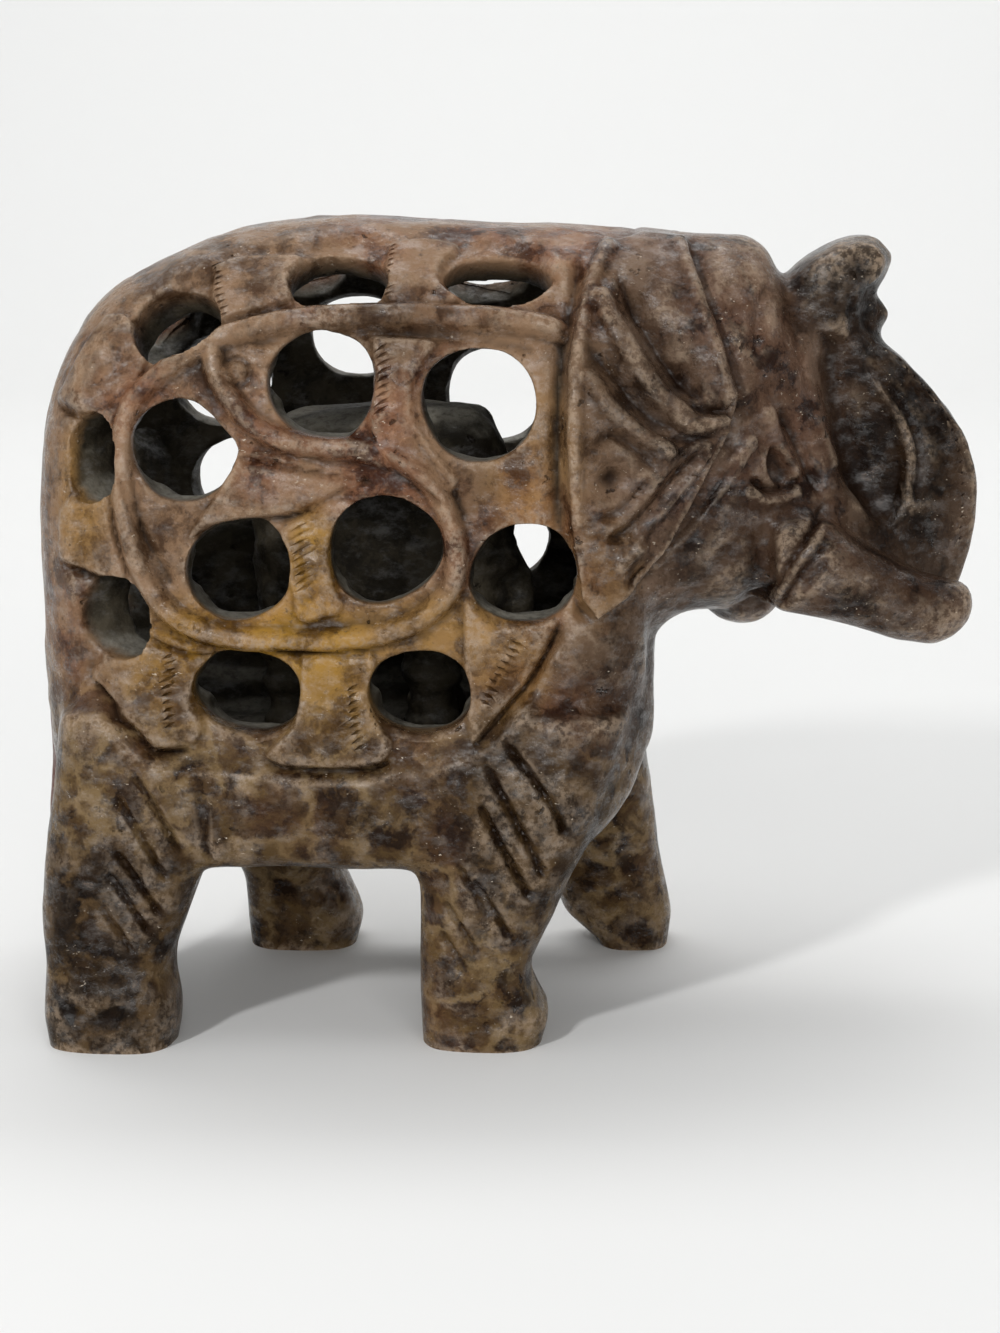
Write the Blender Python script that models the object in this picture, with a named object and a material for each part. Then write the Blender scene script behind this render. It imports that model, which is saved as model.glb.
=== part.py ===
"""A soapstone elephant, carved in openwork from one block, with a smaller elephant left standing inside it.

Metres, +Z up, trunk towards +X. The elephant's right side, with its legs back, faces -Y. The origin is on the
ground, under the middle of the whole figure.
"""

import bmesh
import bpy
import numpy as np
from mathutils import Matrix, Vector

# Sizes that the block and the drill give, in metres
HEIGHT = 0.1012
BODY_WIDTH = 0.0508
HIP_FLARE = 0.0024
HIP_WIDTH = BODY_WIDTH + 2 * HIP_FLARE
HEAD_WIDTH = 0.0400
TRUNK_THICKNESS = 0.0160
EAR_RELIEF = 0.0012
WALL = 0.0066
BELLY_FLOOR = 0.0105
VINE_HEIGHT = 0.0011
GROOVE_DEPTH = 0.0012
TAIL_WIDTH = 0.0056
CALF_WIDTH = 0.0180

# The figure's pose and proportions are drawn in parts of its height, of which there are this many
PARTS = 101.2
PART = HEIGHT / PARTS

# How fine the stone is worked before its facets are cut, and how many facets are left
ROUGH_VOXEL = 0.0012
FINE_VOXEL = 0.0010
FACETS = 9300

# Length, top, underside and half width of the body, from rump to chest. The half width is a share of BODY_WIDTH / 2
BODY_ROWS = [
    (-58.4, 69.0, 38.0, 0.20),
    (-58.0, 75.0, 30.0, 0.42),
    (-56.6, 80.6, 25.5, 0.63),
    (-53.8, 86.8, 23.5, 0.80),
    (-49.5, 92.0, 22.8, 0.92),
    (-42.0, 96.4, 22.5, 0.98),
    (-34.0, 99.4, 22.5, 1.00),
    (-22.0, 101.0, 22.5, 1.00),
    (-8.0, 100.4, 22.6, 1.00),
    (4.0, 100.0, 23.5, 1.00),
    (12.0, 99.6, 30.0, 0.96),
    (17.5, 99.0, 41.0, 0.82),
]
BODY_WAIST = 60.0
BODY_SQUARENESS = 2.9
CAVITY_SQUARENESS = 3.8
CEILING_SHARE = 0.8
# The hollow behind the rump follows the body a little way back, and its floor rises at both ends
CAVITY_FRONT = 12.6
CAVITY_TURN_START, CAVITY_TURN_LENGTH, CAVITY_TURN_SHARE = -18.0, 48.0, 0.5
REAR_RAMP_LENGTH, REAR_RAMP_SLOPE = 5.0, 1.4
FRONT_RAMP_START, FRONT_RAMP_SLOPE = 8.0, 2.0
CAVITY_RINGS = 26

# The same for the head: length, crown, chin, and half width as a share of HEAD_WIDTH / 2
HEAD_ROWS = [
    (8.0, 98.0, 42.0, 1.10),
    (16.0, 98.8, 47.5, 1.08),
    (22.0, 98.9, 51.8, 1.03),
    (27.5, 98.8, 52.0, 0.96),
    (30.8, 98.0, 52.5, 0.87),
    (33.0, 95.0, 53.2, 0.79),
    (34.4, 90.8, 53.8, 0.75),
    (36.2, 87.0, 54.0, 0.71),
    (38.8, 80.5, 53.6, 0.66),
    (40.8, 73.5, 53.0, 0.62),
    (43.5, 67.0, 52.5, 0.57),
    (47.5, 61.5, 52.0, 0.48),
    (52.0, 57.0, 52.5, 0.36),
]
HEAD_WAIST = 66.0
HEAD_SQUARENESS = 3.0

# Legs, sole to hip: height, middle and half length along X, middle and half width as shares of HIP_WIDTH / 2
LEG_SQUARENESS = 3.0
BACK_HIND_LEG = [
    (-3.0, -48.4, 7.8, 0.78, 0.24),
    (0.0, -48.4, 7.9, 0.78, 0.245),
    (2.5, -48.5, 8.5, 0.77, 0.255),
    (6.0, -48.5, 8.2, 0.76, 0.25),
    (10.0, -48.8, 7.9, 0.74, 0.25),
    (15.0, -48.3, 8.9, 0.71, 0.275),
    (22.0, -46.8, 10.0, 0.68, 0.31),
    (32.0, -45.0, 10.6, 0.63, 0.36),
    (42.0, -44.4, 10.4, 0.56, 0.40),
]
FORWARD_HIND_LEG = [
    (-3.0, -29.6, 7.2, 0.77, 0.225),
    (0.0, -29.6, 7.3, 0.77, 0.23),
    (3.5, -29.3, 8.0, 0.76, 0.24),
    (7.0, -29.9, 7.6, 0.75, 0.24),
    (11.0, -31.2, 6.9, 0.73, 0.25),
    (16.0, -34.0, 8.0, 0.71, 0.275),
    (23.0, -39.0, 10.5, 0.68, 0.31),
    (32.0, -43.8, 11.2, 0.63, 0.36),
    (42.0, -44.4, 10.4, 0.56, 0.40),
]
BACK_FORE_LEG = [
    (-3.0, -2.6, 7.2, 0.69, 0.24),
    (0.0, -2.6, 7.4, 0.69, 0.24),
    (3.5, -2.1, 8.0, 0.70, 0.25),
    (6.5, -2.9, 7.2, 0.70, 0.25),
    (10.0, -3.4, 6.8, 0.71, 0.25),
    (16.0, -2.0, 8.2, 0.71, 0.27),
    (23.0, -0.4, 9.8, 0.69, 0.30),
    (31.0, 2.0, 11.0, 0.66, 0.33),
    (42.0, 5.0, 11.0, 0.58, 0.38),
]
FORWARD_FORE_LEG = [
    (-3.0, 16.8, 4.4, 0.83, 0.21),
    (0.0, 16.7, 4.6, 0.83, 0.22),
    (3.0, 15.3, 6.6, 0.82, 0.23),
    (6.0, 14.0, 7.6, 0.81, 0.235),
    (11.0, 13.0, 7.6, 0.79, 0.24),
    (19.0, 11.5, 7.9, 0.75, 0.26),
    (27.0, 9.5, 8.6, 0.69, 0.30),
    (36.0, 7.5, 9.8, 0.66, 0.33),
    (45.0, 6.0, 10.0, 0.58, 0.38),
]

# The girdle is the solid band of belly and flanks below the openwork: length, half width as a share of HIP_WIDTH / 2, and
# underside. It is square below, and its top dies into the body.
GIRDLE_ROWS = [
    (-57.2, 0.30, 23.5), (-54.6, 0.68, 22.2), (-50.0, 0.88, 21.8), (-44.0, 0.96, 21.8), (-30.0, 0.97, 21.8),
    (-6.0, 0.97, 21.8), (4.0, 0.95, 22.2), (9.0, 0.88, 24.0), (13.0, 0.78, 27.0), (16.0, 0.64, 31.0), (18.6, 0.42, 37.0),
]
GIRDLE_WAIST, GIRDLE_TOP = 32.0, 62.0
GIRDLE_LEAST_DEPTH = 5.0
GIRDLE_TOP_SQUARENESS, GIRDLE_LOW_SQUARENESS = 2.3, 7.0
BELLY_LOW = 21.8

EAR_OUTLINE = [
    (11.6, 97.6), (16.5, 99.2), (21.7, 98.6), (23.9, 92.9), (26.2, 85.9), (28.0, 80.1), (26.6, 75.2), (22.9, 68.3),
    (19.3, 61.7), (15.2, 56.5), (11.6, 53.9), (9.6, 56.3), (8.2, 65.8), (7.6, 75.3), (8.0, 84.7), (9.4, 92.4),
]
# The face of the ears, with rows like the body's
EAR_ROWS = [
    (4.0, 99.6, 30.0, 1.00),
    (9.0, 99.6, 30.0, 1.00),
    (14.0, 99.8, 30.0, 0.97),
    (19.0, 99.9, 30.0, 0.92),
    (24.0, 99.6, 30.0, 0.86),
    (31.0, 99.0, 30.0, 0.78),
]

# The raised trunk is thick along its flanks and thins to a rim: each row is a point of the rim, then its point of the flank
TRUNK_ROWS = [
    ((51.5, 50.8), (47.0, 54.0)), ((56.8, 53.5), (49.0, 58.0)), ((58.4, 58.5), (49.6, 62.5)),
    ((59.2, 63.5), (50.3, 66.4)), ((59.2, 68.0), (50.8, 70.2)), ((57.9, 72.8), (50.2, 73.9)),
    ((55.4, 76.9), (48.8, 77.1)), ((52.5, 80.2), (46.5, 80.0)), ((49.0, 83.6), (44.4, 83.3)),
    ((45.6, 86.4), (42.4, 86.4)), ((45.4, 89.0), (42.2, 88.8)), ((45.3, 91.4), (42.8, 91.2)),
    ((47.1, 93.6), (45.6, 93.8)), ((48.0, 96.2), (46.4, 95.8)), ((45.4, 98.8), (44.2, 97.8)),
    ((41.0, 98.3), (40.6, 97.0)), ((36.7, 95.7), (37.2, 94.4)), ((33.2, 92.2), (35.4, 90.8)),
    ((33.0, 86.0), (37.6, 86.0)), ((34.0, 78.0), (39.6, 79.0)), ((35.0, 68.0), (42.0, 71.0)),
    ((36.0, 58.0), (43.5, 63.0)), ((40.0, 52.6), (44.0, 56.5)),
]
TRUNK_RIM_SHARE = 0.38
TRUNK_LIP = (46.0, 88.7, 1.9)

# The lower lip's middle, along X and up, and its three half sizes
CHIN = (29.8, 53.4, 4.9, 7.5, 4.0)

# Tusk, root to tip: position along X, middle height, half height, and middle and half width as shares of HEAD_WIDTH / 2
TUSK_ROWS = [
    (33.0, 59.6, 6.4, 0.66, 0.34),
    (37.0, 59.2, 6.4, 0.68, 0.33),
    (41.0, 57.8, 5.8, 0.68, 0.32),
    (45.0, 55.6, 4.9, 0.67, 0.31),
    (49.5, 54.0, 4.5, 0.65, 0.29),
    (53.5, 53.3, 3.9, 0.62, 0.26),
    (56.2, 53.9, 2.8, 0.60, 0.20),
    (57.4, 54.3, 1.5, 0.59, 0.12),
]

# Tail, dock to tuft: point of its middle line, and its half width and half depth as shares of TAIL_WIDTH / 2
TAIL_ROWS = [
    (-56.6, 0.0, 78.0, 0.8, 0.6), (-57.8, 0.0, 71.0, 0.95, 0.62), (-58.1, -0.6, 58.0, 0.95, 0.62),
    (-58.0, -2.0, 44.0, 0.9, 0.62), (-57.4, -4.4, 32.0, 0.9, 0.66), (-56.9, -8.0, 22.0, 1.0, 0.75),
    (-56.2, -11.0, 15.0, 1.25, 0.9), (-55.8, -13.0, 10.5, 1.15, 0.95), (-55.0, -14.0, 8.0, 0.6, 0.8),
]

# Openings cut through the near wall: the middle of the outline, along X and up, the cutter's rise above the level, its
# turn towards the tail, both in degrees, and the outline's radii every 30 degrees, the first towards the trunk
NEAR_HOLES = [
    (-37.8, 73.9, 0, 0, [6.4, 5.2, 5.4, 6.2, 6.4, 6.8, 6.5, 6.3, 6.4, 6.2, 6.1, 6.1]),
    (-21.6, 81.9, 0, 0, [6.4, 6.7, 6.7, 6.4, 6.4, 6.4, 6.4, 6.2, 6.4, 6.4, 7.2, 6.8]),
    (-2.8, 79.3, 0, 0, [6.8, 7.0, 7.0, 6.8, 7.0, 7.2, 6.8, 6.4, 6.8, 6.7, 6.7, 6.9]),
    (-13.7, 61.8, 0, 0, [6.7, 6.7, 6.6, 6.7, 6.9, 6.9, 6.7, 7.1, 7.0, 6.3, 5.9, 6.1]),
    (-31.6, 59.3, 0, 0, [6.4, 6.7, 7.0, 5.8, 5.9, 6.2, 6.4, 6.3, 6.2, 6.1, 6.0, 6.5]),
    (2.4, 59.2, 0, 0, [6.5, 6.5, 6.3, 5.9, 5.8, 5.7, 6.1, 6.5, 6.1, 5.9, 6.2, 6.6]),
    (-30.9, 44.3, 0, 0, [6.7, 6.4, 5.4, 4.9, 5.9, 6.5, 6.6, 5.5, 5.0, 5.0, 5.7, 6.6]),
    (-9.9, 44.4, 0, 0, [6.3, 6.3, 5.6, 5.1, 5.4, 6.3, 6.2, 5.8, 5.1, 5.0, 5.5, 6.2]),
    (-38.9, 89.0, 40, 12, [5.3, 5.1, 4.9, 5.0, 5.3, 5.6, 5.6, 5.7, 5.5, 4.2, 4.0, 4.5]),
    (-19.8, 94.5, 42, 0, [6.1, 5.4, 4.2, 4.1, 4.5, 5.1, 5.8, 5.8, 4.7, 4.3, 4.4, 6.0]),
    (-0.6, 94.4, 42, 0, [6.4, 5.5, 4.2, 3.9, 4.4, 5.7, 6.7, 5.3, 4.4, 3.9, 4.1, 5.0]),
    (-49.9, 72.5, 0, 45, [3.2, 3.4, 4.4, 5.8, 4.8, 3.6, 3.0, 3.2, 4.2, 5.4, 5.0, 3.8]),
    (-47.4, 53.3, 0, 42, [3.9, 4.1, 4.8, 5.2, 4.7, 4.1, 3.9, 3.8, 4.2, 5.0, 5.2, 4.5]),
]
# The far wall's openings, which were set out apart from the near ones, each an oval: its middle, rise, turn and half sizes
FAR_HOLES = [
    (-39.3, 78.8, 0, 0, 6.2, 5.9),
    (-20.9, 84.9, 0, 0, 6.6, 5.6),
    (-2.7, 77.0, 0, 0, 6.5, 6.4),
    (-19.4, 67.0, 0, 0, 6.0, 5.8),
    (-37.2, 65.2, 0, 0, 6.3, 5.6),
    (-1.7, 57.6, 0, 0, 6.2, 6.2),
    (-28.6, 49.8, 0, 0, 6.3, 5.0),
    (-12.4, 48.4, 0, 0, 6.2, 5.0),
    (-49.2, 89.2, 38, 40, 6.0, 5.4),
    (-27.6, 95.8, 42, 0, 5.4, 3.6),
    (-4.4, 95.4, 42, 0, 6.2, 3.8),
    (-55.2, 67.0, 0, 58, 3.4, 5.4),
    (-56.0, 47.6, 0, 66, 3.2, 4.8),
]
HOLE_SIDES = 30
HOLE_REACH_IN = 2.0
HOLE_REACH_OUT = 0.9

# The vine that runs round each side as a raised cord, and the stems that join it. Each side's runs between its openings
NEAR_VINE = [
    (6.8, 88.2), (-2.5, 89.6), (-14.4, 89.9), (-25.5, 89.3), (-34.4, 86.8), (-41.2, 82.6), (-45.1, 77.2), (-45.5, 69.1),
    (-43.9, 60.6), (-40.0, 54.3), (-32.8, 51.3), (-22.0, 50.9), (-12.2, 52.4), (-6.3, 56.9), (-5.6, 63.7), (-8.9, 70.3),
    (-15.6, 73.7), (-22.7, 74.5), (-29.3, 76.9), (-33.3, 81.8), (-34.6, 86.0),
]
NEAR_STEMS = [
    [(-11.8, 87.4), (-12.8, 80.0), (-10.6, 74.0), (-6.4, 69.6)],
    [(-17.0, 70.2), (-24.0, 69.8), (-30.6, 69.6), (-35.8, 64.6)],
    [(-22.4, 67.0), (-23.0, 60.8), (-22.0, 54.0)],
    [(-19.8, 49.2), (-20.4, 43.4), (-20.8, 38.0)],
    [(-41.4, 52.0), (-40.4, 45.4), (-40.6, 39.6)],
]
FAR_VINE = [
    (7.0, 88.0), (-8.0, 91.0), (-16.0, 92.2), (-24.0, 91.8), (-33.0, 89.4), (-41.0, 87.4), (-46.0, 83.0), (-47.6, 76.0),
    (-46.6, 68.0), (-44.6, 61.6), (-40.0, 57.4), (-32.0, 57.0), (-24.0, 58.2), (-16.0, 58.6), (-10.6, 61.6), (-9.8, 66.4),
    (-11.4, 71.6), (-15.0, 75.2), (-21.0, 76.4), (-26.6, 75.4), (-30.0, 72.4), (-30.2, 67.6),
]
FAR_STEMS = [
    [(-29.6, 88.0), (-31.4, 82.0), (-31.6, 76.6)],
    [(-10.4, 88.0), (-12.0, 81.0), (-11.8, 74.6)],
    [(-20.4, 57.2), (-21.0, 50.0), (-20.8, 42.4)],
]
VINE_HALF_WIDTH = 1.7
STEM_HALF_WIDTH, STEM_SHARE = 2.2, 0.55

# Cuts made with the edge of a file: the middle line, then half width and depth as shares of GROOVE_DEPTH
SIDE_GROOVES = [
    ([(13.6, 93.2), (17.2, 87.6), (21.9, 81.7), (26.2, 77.0)], 1.7, 1.6),
    ([(10.8, 84.2), (16.3, 78.8), (21.2, 74.9)], 1.3, 1.0),
    ([(11.1, 75.8), (14.5, 75.4), (18.6, 72.3)], 1.0, 0.7),
    ([(13.4, 64.7), (17.4, 67.4), (20.3, 70.6), (25.0, 74.9)], 1.0, 0.9),
    ([(16.1, 60.6), (20.4, 65.6), (26.0, 72.4)], 1.1, 0.9),
    ([(34.2, 77.6), (36.2, 73.0), (38.4, 68.0)], 1.1, 0.9),
    ([(32.2, 55.4), (35.1, 60.7), (38.9, 65.4)], 0.9, 0.8),
    ([(34.0, 55.3), (36.6, 59.5), (39.4, 62.6)], 0.9, 0.8),
    ([(-43.0, 46.6), (-39.6, 39.0), (-33.0, 36.4), (-23.9, 35.6), (-11.8, 35.8), (-3.3, 38.4), (2.7, 43.6)], 0.8, 0.7),
]
# The same on the near legs. The far legs stand a step further forward, and so do their cuts
LEG_GROOVES = [
    ([(0.3, 39.5), (7.6, 27.0)], 0.9, 1.0),
    ([(-3.3, 36.1), (4.6, 23.2)], 0.9, 1.0),
    ([(-2.7, 30.8), (4.0, 19.7)], 0.8, 0.8),
    ([(-5.1, 19.3), (0.3, 11.2)], 0.8, 0.7),
    ([(-44.5, 33.9), (-39.6, 23.9)], 0.9, 0.9),
    ([(-46.2, 26.3), (-40.6, 17.0)], 0.8, 0.8),
    ([(-48.0, 20.8), (-43.8, 12.8)], 0.8, 0.9),
]
FAR_LEG_STEP = 8.4
PITS = [(12.9, 71.0, 1.9, 1.6), (33.4, 70.8, 1.5, 1.6), (30.4, 53.6, 1.6, 1.0)]
# The carving keeps to skin that faces out to the side, and off the head's top and the walls of the openings
FACING_START, FACING_FULL = 0.2, 0.6
HEAD_START, HEAD_INNER_SHARE = 28.0, 0.45
SKIN_SHARE = 0.75

# The small elephant inside: its body, head, trunk and legs, in the same parts
CALF_ROWS = [
    (-32.4, 70.0, 56.0, 0.45),
    (-31.2, 74.0, 50.0, 0.80),
    (-27.5, 76.2, 46.5, 1.00),
    (-21.0, 76.6, 46.0, 1.00),
    (-14.0, 77.2, 46.0, 1.00),
    (-8.0, 77.4, 46.5, 0.98),
    (-3.4, 76.6, 48.5, 0.82),
    (-0.8, 72.5, 52.0, 0.60),
    (0.6, 67.0, 56.5, 0.40),
]
CALF_WAIST = 61.0
CALF_LEG_X = [-27.6, -9.6]
CALF_LEG_HALF = 3.6
CALF_LEG_Y = 0.52
CALF_LEG_SQUARENESS, CALF_SQUARENESS = 2.4, 2.6
# Heights of a leg's sections above the belly floor, and how far each is swollen. The first is let into the floor
CALF_LEG_ROWS = [(-3.0, 1.05), (4.0, 0.92), (12.0, 1.0), (22.0, 1.2)]
CALF_TRUNK = [
    (-2.2, 0.0, 66.0, 2.8), (-1.6, 0.0, 59.0, 2.8), (0.4, 0.0, 53.5, 2.8), (0.9, 0.0, 44.0, 2.5), (0.2, 0.0, 31.0, 2.5),
]


def clear_scene():
    for obj in list(bpy.data.objects):
        bpy.data.objects.remove(obj)


def smooth_rows(rows, steps=4):
    """Rows with further rows between them, on a Catmull-Rom curve through the ones given."""
    table = np.array(rows, float)
    padded = np.vstack([2 * table[0] - table[1], table, 2 * table[-1] - table[-2]])
    found = []
    for i in range(1, len(padded) - 2):
        before, start, end, after = padded[i - 1 : i + 3]
        for t in np.arange(steps) / steps:
            bend = 2 * start + (end - before) * t
            bend = bend + (2 * before - 5 * start + 4 * end - after) * t**2
            found.append((bend + (3 * start - before - 3 * end + after) * t**3) / 2)
    return np.array(found + [table[-1]])


def oval(half_u, half_v_up, half_v_down, power, sides=36, power_down=None):
    """Points of an oval with squared shoulders. Its height and squareness can differ above and below its middle."""
    turn = np.arange(sides) * 2 * np.pi / sides
    cosine, sine = np.cos(turn), np.sin(turn)
    powers = np.where(sine > 0, power, power_down or power)
    u = half_u * np.sign(cosine) * np.abs(cosine) ** (2 / powers)
    v = np.sign(sine) * np.abs(sine) ** (2 / powers) * np.where(sine > 0, half_v_up, half_v_down)
    return u, v


def add_loft(stone, rings):
    """Adds to the bmesh a closed form that passes through the rings, which have as many points each."""
    grown = [[stone.verts.new(Vector(point)) for point in ring] for ring in rings]
    sides = len(grown[0])
    for near, far in zip(grown, grown[1:]):
        for i in range(sides):
            j = (i + 1) % sides
            stone.faces.new((near[i], near[j], far[j], far[i]))
    stone.faces.new(grown[0][::-1])
    stone.faces.new(grown[-1])


def add_barrel(stone, rows, width, waist, power):
    """Adds a form lofted along X. Each row is its place, top, underside and half width as a share of width / 2."""
    rings = []
    for x, top, low, share in smooth_rows(rows):
        middle = min(max(waist, low + 0.5), top - 0.5)
        y, z = oval(share * width / 2, (top - middle) * PART, (middle - low) * PART, power)
        rings.append([(x * PART, a, middle * PART + b) for a, b in zip(y, z)])
    add_loft(stone, rings)


def add_leg(stone, rows, side):
    """Adds a leg lofted along Z, on the side of the body that side gives: -1 for the right, 1 for the left."""
    rings = []
    for z, x, half_x, middle, half_y in smooth_rows(rows, 3):
        u, v = oval(half_x * PART, half_y * HIP_WIDTH / 2, half_y * HIP_WIDTH / 2, LEG_SQUARENESS, 28)
        centre = side * middle * HIP_WIDTH / 2
        rings.append([(x * PART + a, centre + b, z * PART) for a, b in zip(u, v)])
    add_loft(stone, rings)


def add_slab(stone, layers):
    """Adds a form lofted along Y. Each layer is a height along Y, then its outline in X and Z."""
    add_loft(stone, [[(x * PART, y, z * PART) for x, z in outline] for y, outline in layers])


def add_tube(stone, rows, sides=16):
    """Adds a round form along a line. Each row is a point in metres, a half width along Y, and a half depth across it."""
    table = smooth_rows(rows, 3)
    points = table[:, :3]
    along = np.gradient(points, axis=0)
    rings = []
    for point, direction, half_y, depth in zip(points, along, table[:, 3], table[:, 4]):
        across = np.cross(direction, (0.0, 1.0, 0.0))
        across = across / np.linalg.norm(across)
        u, v = oval(half_y, depth, depth, 2.2, sides)
        rings.append([point + np.array((0.0, a, 0.0)) + across * b for a, b in zip(u, v)])
    add_loft(stone, rings)


def girdle(stone):
    """The solid band under the openwork, square in section, which the legs grow from."""
    rings = []
    for x, share, low in smooth_rows(GIRDLE_ROWS, 3):
        waist = max(GIRDLE_WAIST, low + GIRDLE_LEAST_DEPTH)
        above, below = (GIRDLE_TOP - waist) * PART, (waist - low) * PART
        y, z = oval(share * HIP_WIDTH / 2, above, below, GIRDLE_TOP_SQUARENESS, power_down=GIRDLE_LOW_SQUARENESS)
        rings.append([(x * PART, a, waist * PART + b) for a, b in zip(y, z)])
    add_loft(stone, rings)


def ears():
    """Both ears in one, which lie flat along the shoulders and stand a little proud of the sides."""
    stone = bmesh.new()
    add_barrel(stone, EAR_ROWS, BODY_WIDTH + 2 * EAR_RELIEF, BODY_WAIST, BODY_SQUARENESS)
    both = object_from("ears", stone)
    stone = bmesh.new()
    add_slab(stone, [(side * BODY_WIDTH, EAR_OUTLINE) for side in (-1, 1)])
    combine(both, [object_from("ear_outline", stone)], "INTERSECT")
    return both


def trunk(stone):
    """The trunk is raised against the forehead. Its flanks are thick, and it thins to a rim that faces forward."""
    rim = [row[0] for row in TRUNK_ROWS]
    flank = [row[1] for row in TRUNK_ROWS]
    half = TRUNK_THICKNESS / 2
    layers = [(-half, flank), (-half * TRUNK_RIM_SHARE, rim), (half * TRUNK_RIM_SHARE, rim), (half, flank)]
    add_slab(stone, layers)
    x, z, radius = TRUNK_LIP
    place = Matrix.Translation((x * PART, 0.0, z * PART))
    bmesh.ops.create_icosphere(stone, subdivisions=2, radius=radius * PART, matrix=place)


def tusks(stone):
    for side in (-1, 1):
        rings = []
        for x, z, half_z, middle, half_y in smooth_rows(TUSK_ROWS, 3):
            y, v = oval(half_y * HEAD_WIDTH / 2, half_z * PART, half_z * PART, 2.4, 20)
            centre = side * middle * HEAD_WIDTH / 2
            rings.append([(x * PART, centre + a, z * PART + b) for a, b in zip(y, v)])
        add_loft(stone, rings)


def chin(stone):
    x, z, half_x, half_y, half_z = CHIN
    place = Matrix.Translation((x * PART, 0.0, z * PART)) @ Matrix.Diagonal((half_x, half_y, half_z, 1.0))
    bmesh.ops.create_icosphere(stone, subdivisions=3, radius=PART, matrix=place)


def tail(stone):
    half = TAIL_WIDTH / 2
    rows = [(x * PART, y * PART, z * PART, wide * half, deep * half) for x, y, z, wide, deep in TAIL_ROWS]
    add_tube(stone, rows)


def object_from(name, stone):
    bmesh.ops.recalc_face_normals(stone, faces=stone.faces)
    mesh = bpy.data.meshes.new(name)
    stone.to_mesh(mesh)
    stone.free()
    obj = bpy.data.objects.new(name, mesh)
    bpy.context.scene.collection.objects.link(obj)
    return obj


def apply_modifiers(obj):
    """Makes the evaluated mesh the object's own."""
    graph = bpy.context.evaluated_depsgraph_get()
    mesh = bpy.data.meshes.new_from_object(obj.evaluated_get(graph))
    obj.modifiers.clear()
    obj.data = mesh


def fuse(obj, voxel, smoothing):
    """Makes the forms in the object one skin, and softens where they meet."""
    skin = obj.modifiers.new("skin", "REMESH")
    skin.mode = "VOXEL"
    skin.voxel_size = voxel
    soften = obj.modifiers.new("soften", "SMOOTH")
    soften.factor = 0.5
    soften.iterations = smoothing
    apply_modifiers(obj)


def combine(obj, tools, operation):
    """Cuts the tools out of the object, or joins them to it, and removes them."""
    for tool in tools:
        step = obj.modifiers.new(tool.name, "BOOLEAN")
        step.operation = operation
        step.object = tool
    bpy.context.view_layer.update()
    apply_modifiers(obj)
    for tool in tools:
        bpy.data.objects.remove(tool)


def cavity_tool():
    """The hollow inside the body: the body's own shape, a wall's thickness in on every side, down to the belly floor."""
    inset = WALL / PART
    floor = BELLY_LOW + BELLY_FLOOR / PART
    table = smooth_rows(BODY_ROWS)
    start = BODY_ROWS[0][0] + inset
    rings = []
    for x in np.linspace(start, CAVITY_FRONT, CAVITY_RINGS):
        turn = np.clip((CAVITY_TURN_START - x) / CAVITY_TURN_LENGTH, 0, CAVITY_TURN_SHARE)
        top, share = (np.interp(x - inset * turn, table[:, 0], table[:, column]) for column in (1, 3))
        ceiling = top - CEILING_SHARE * inset
        half = max(share * BODY_WIDTH / 2 - WALL, 2 * PART)
        rear = max(0.0, start + REAR_RAMP_LENGTH - x) * REAR_RAMP_SLOPE
        low = floor + rear + max(0.0, x - FRONT_RAMP_START) * FRONT_RAMP_SLOPE
        y, z = oval(half, (ceiling - BODY_WAIST) * PART, (BODY_WAIST - low) * PART, CAVITY_SQUARENESS)
        rings.append([(x * PART, a, BODY_WAIST * PART + b) for a, b in zip(y, z)])
    stone = bmesh.new()
    add_loft(stone, rings)
    return object_from("cavity_tool", stone)


def body_half_width(x, z):
    """Half the body's width at a place in X and Z, all in parts."""
    table = smooth_rows(BODY_ROWS)
    top, low, share = (np.interp(x, table[:, 0], table[:, column]) for column in (1, 2, 3))
    height = (z - BODY_WAIST) / (top - BODY_WAIST if z > BODY_WAIST else BODY_WAIST - low)
    return share * BODY_WIDTH / 2 / PART * max(0.0, 1 - abs(height) ** BODY_SQUARENESS) ** (1 / BODY_SQUARENESS)


def cutter(name, side, x, z, rise, turn, outline):
    """A straight cutter through one wall. Its outline is given in parts, towards the trunk and up."""
    outward = Matrix.Rotation(np.radians(turn) * side, 3, "Z") @ Vector((0.0, side, 0.0))
    outward = outward * np.cos(np.radians(rise)) + Vector((0.0, 0.0, np.sin(np.radians(rise))))
    along = (outward.cross(Vector((0.0, 0.0, 1.0))) * side).normalized()
    upward = along.cross(outward) * side
    middle = Vector((x, side * body_half_width(x, z), z)) * PART
    ends = [middle - outward * WALL * HOLE_REACH_IN, middle + outward * WALL * HOLE_REACH_OUT]
    stone = bmesh.new()
    add_loft(stone, [[end + (along * a + upward * b) * PART for a, b in outline] for end in ends])
    return object_from(name, stone)


def hole_tools():
    """A cutter for every opening in the two walls."""
    tools = []
    fine = np.arange(HOLE_SIDES) * 2 * np.pi / HOLE_SIDES
    for number, (x, z, rise, turn, radii) in enumerate(NEAR_HOLES):
        radius = np.interp(fine, np.linspace(0, 2 * np.pi, len(radii) + 1), radii + radii[:1])
        outline = np.stack([np.cos(fine) * radius, np.sin(fine) * radius], axis=1)
        tools.append(cutter(f"near_cutter_{number}", -1, x, z, rise, turn, outline))
    for number, (x, z, rise, turn, half_length, half_height) in enumerate(FAR_HOLES):
        outline = np.stack(oval(half_length, half_height, half_height, 2.15, HOLE_SIDES), axis=1)
        tools.append(cutter(f"far_cutter_{number}", 1, x, z, rise, turn, outline))
    return tools


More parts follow.
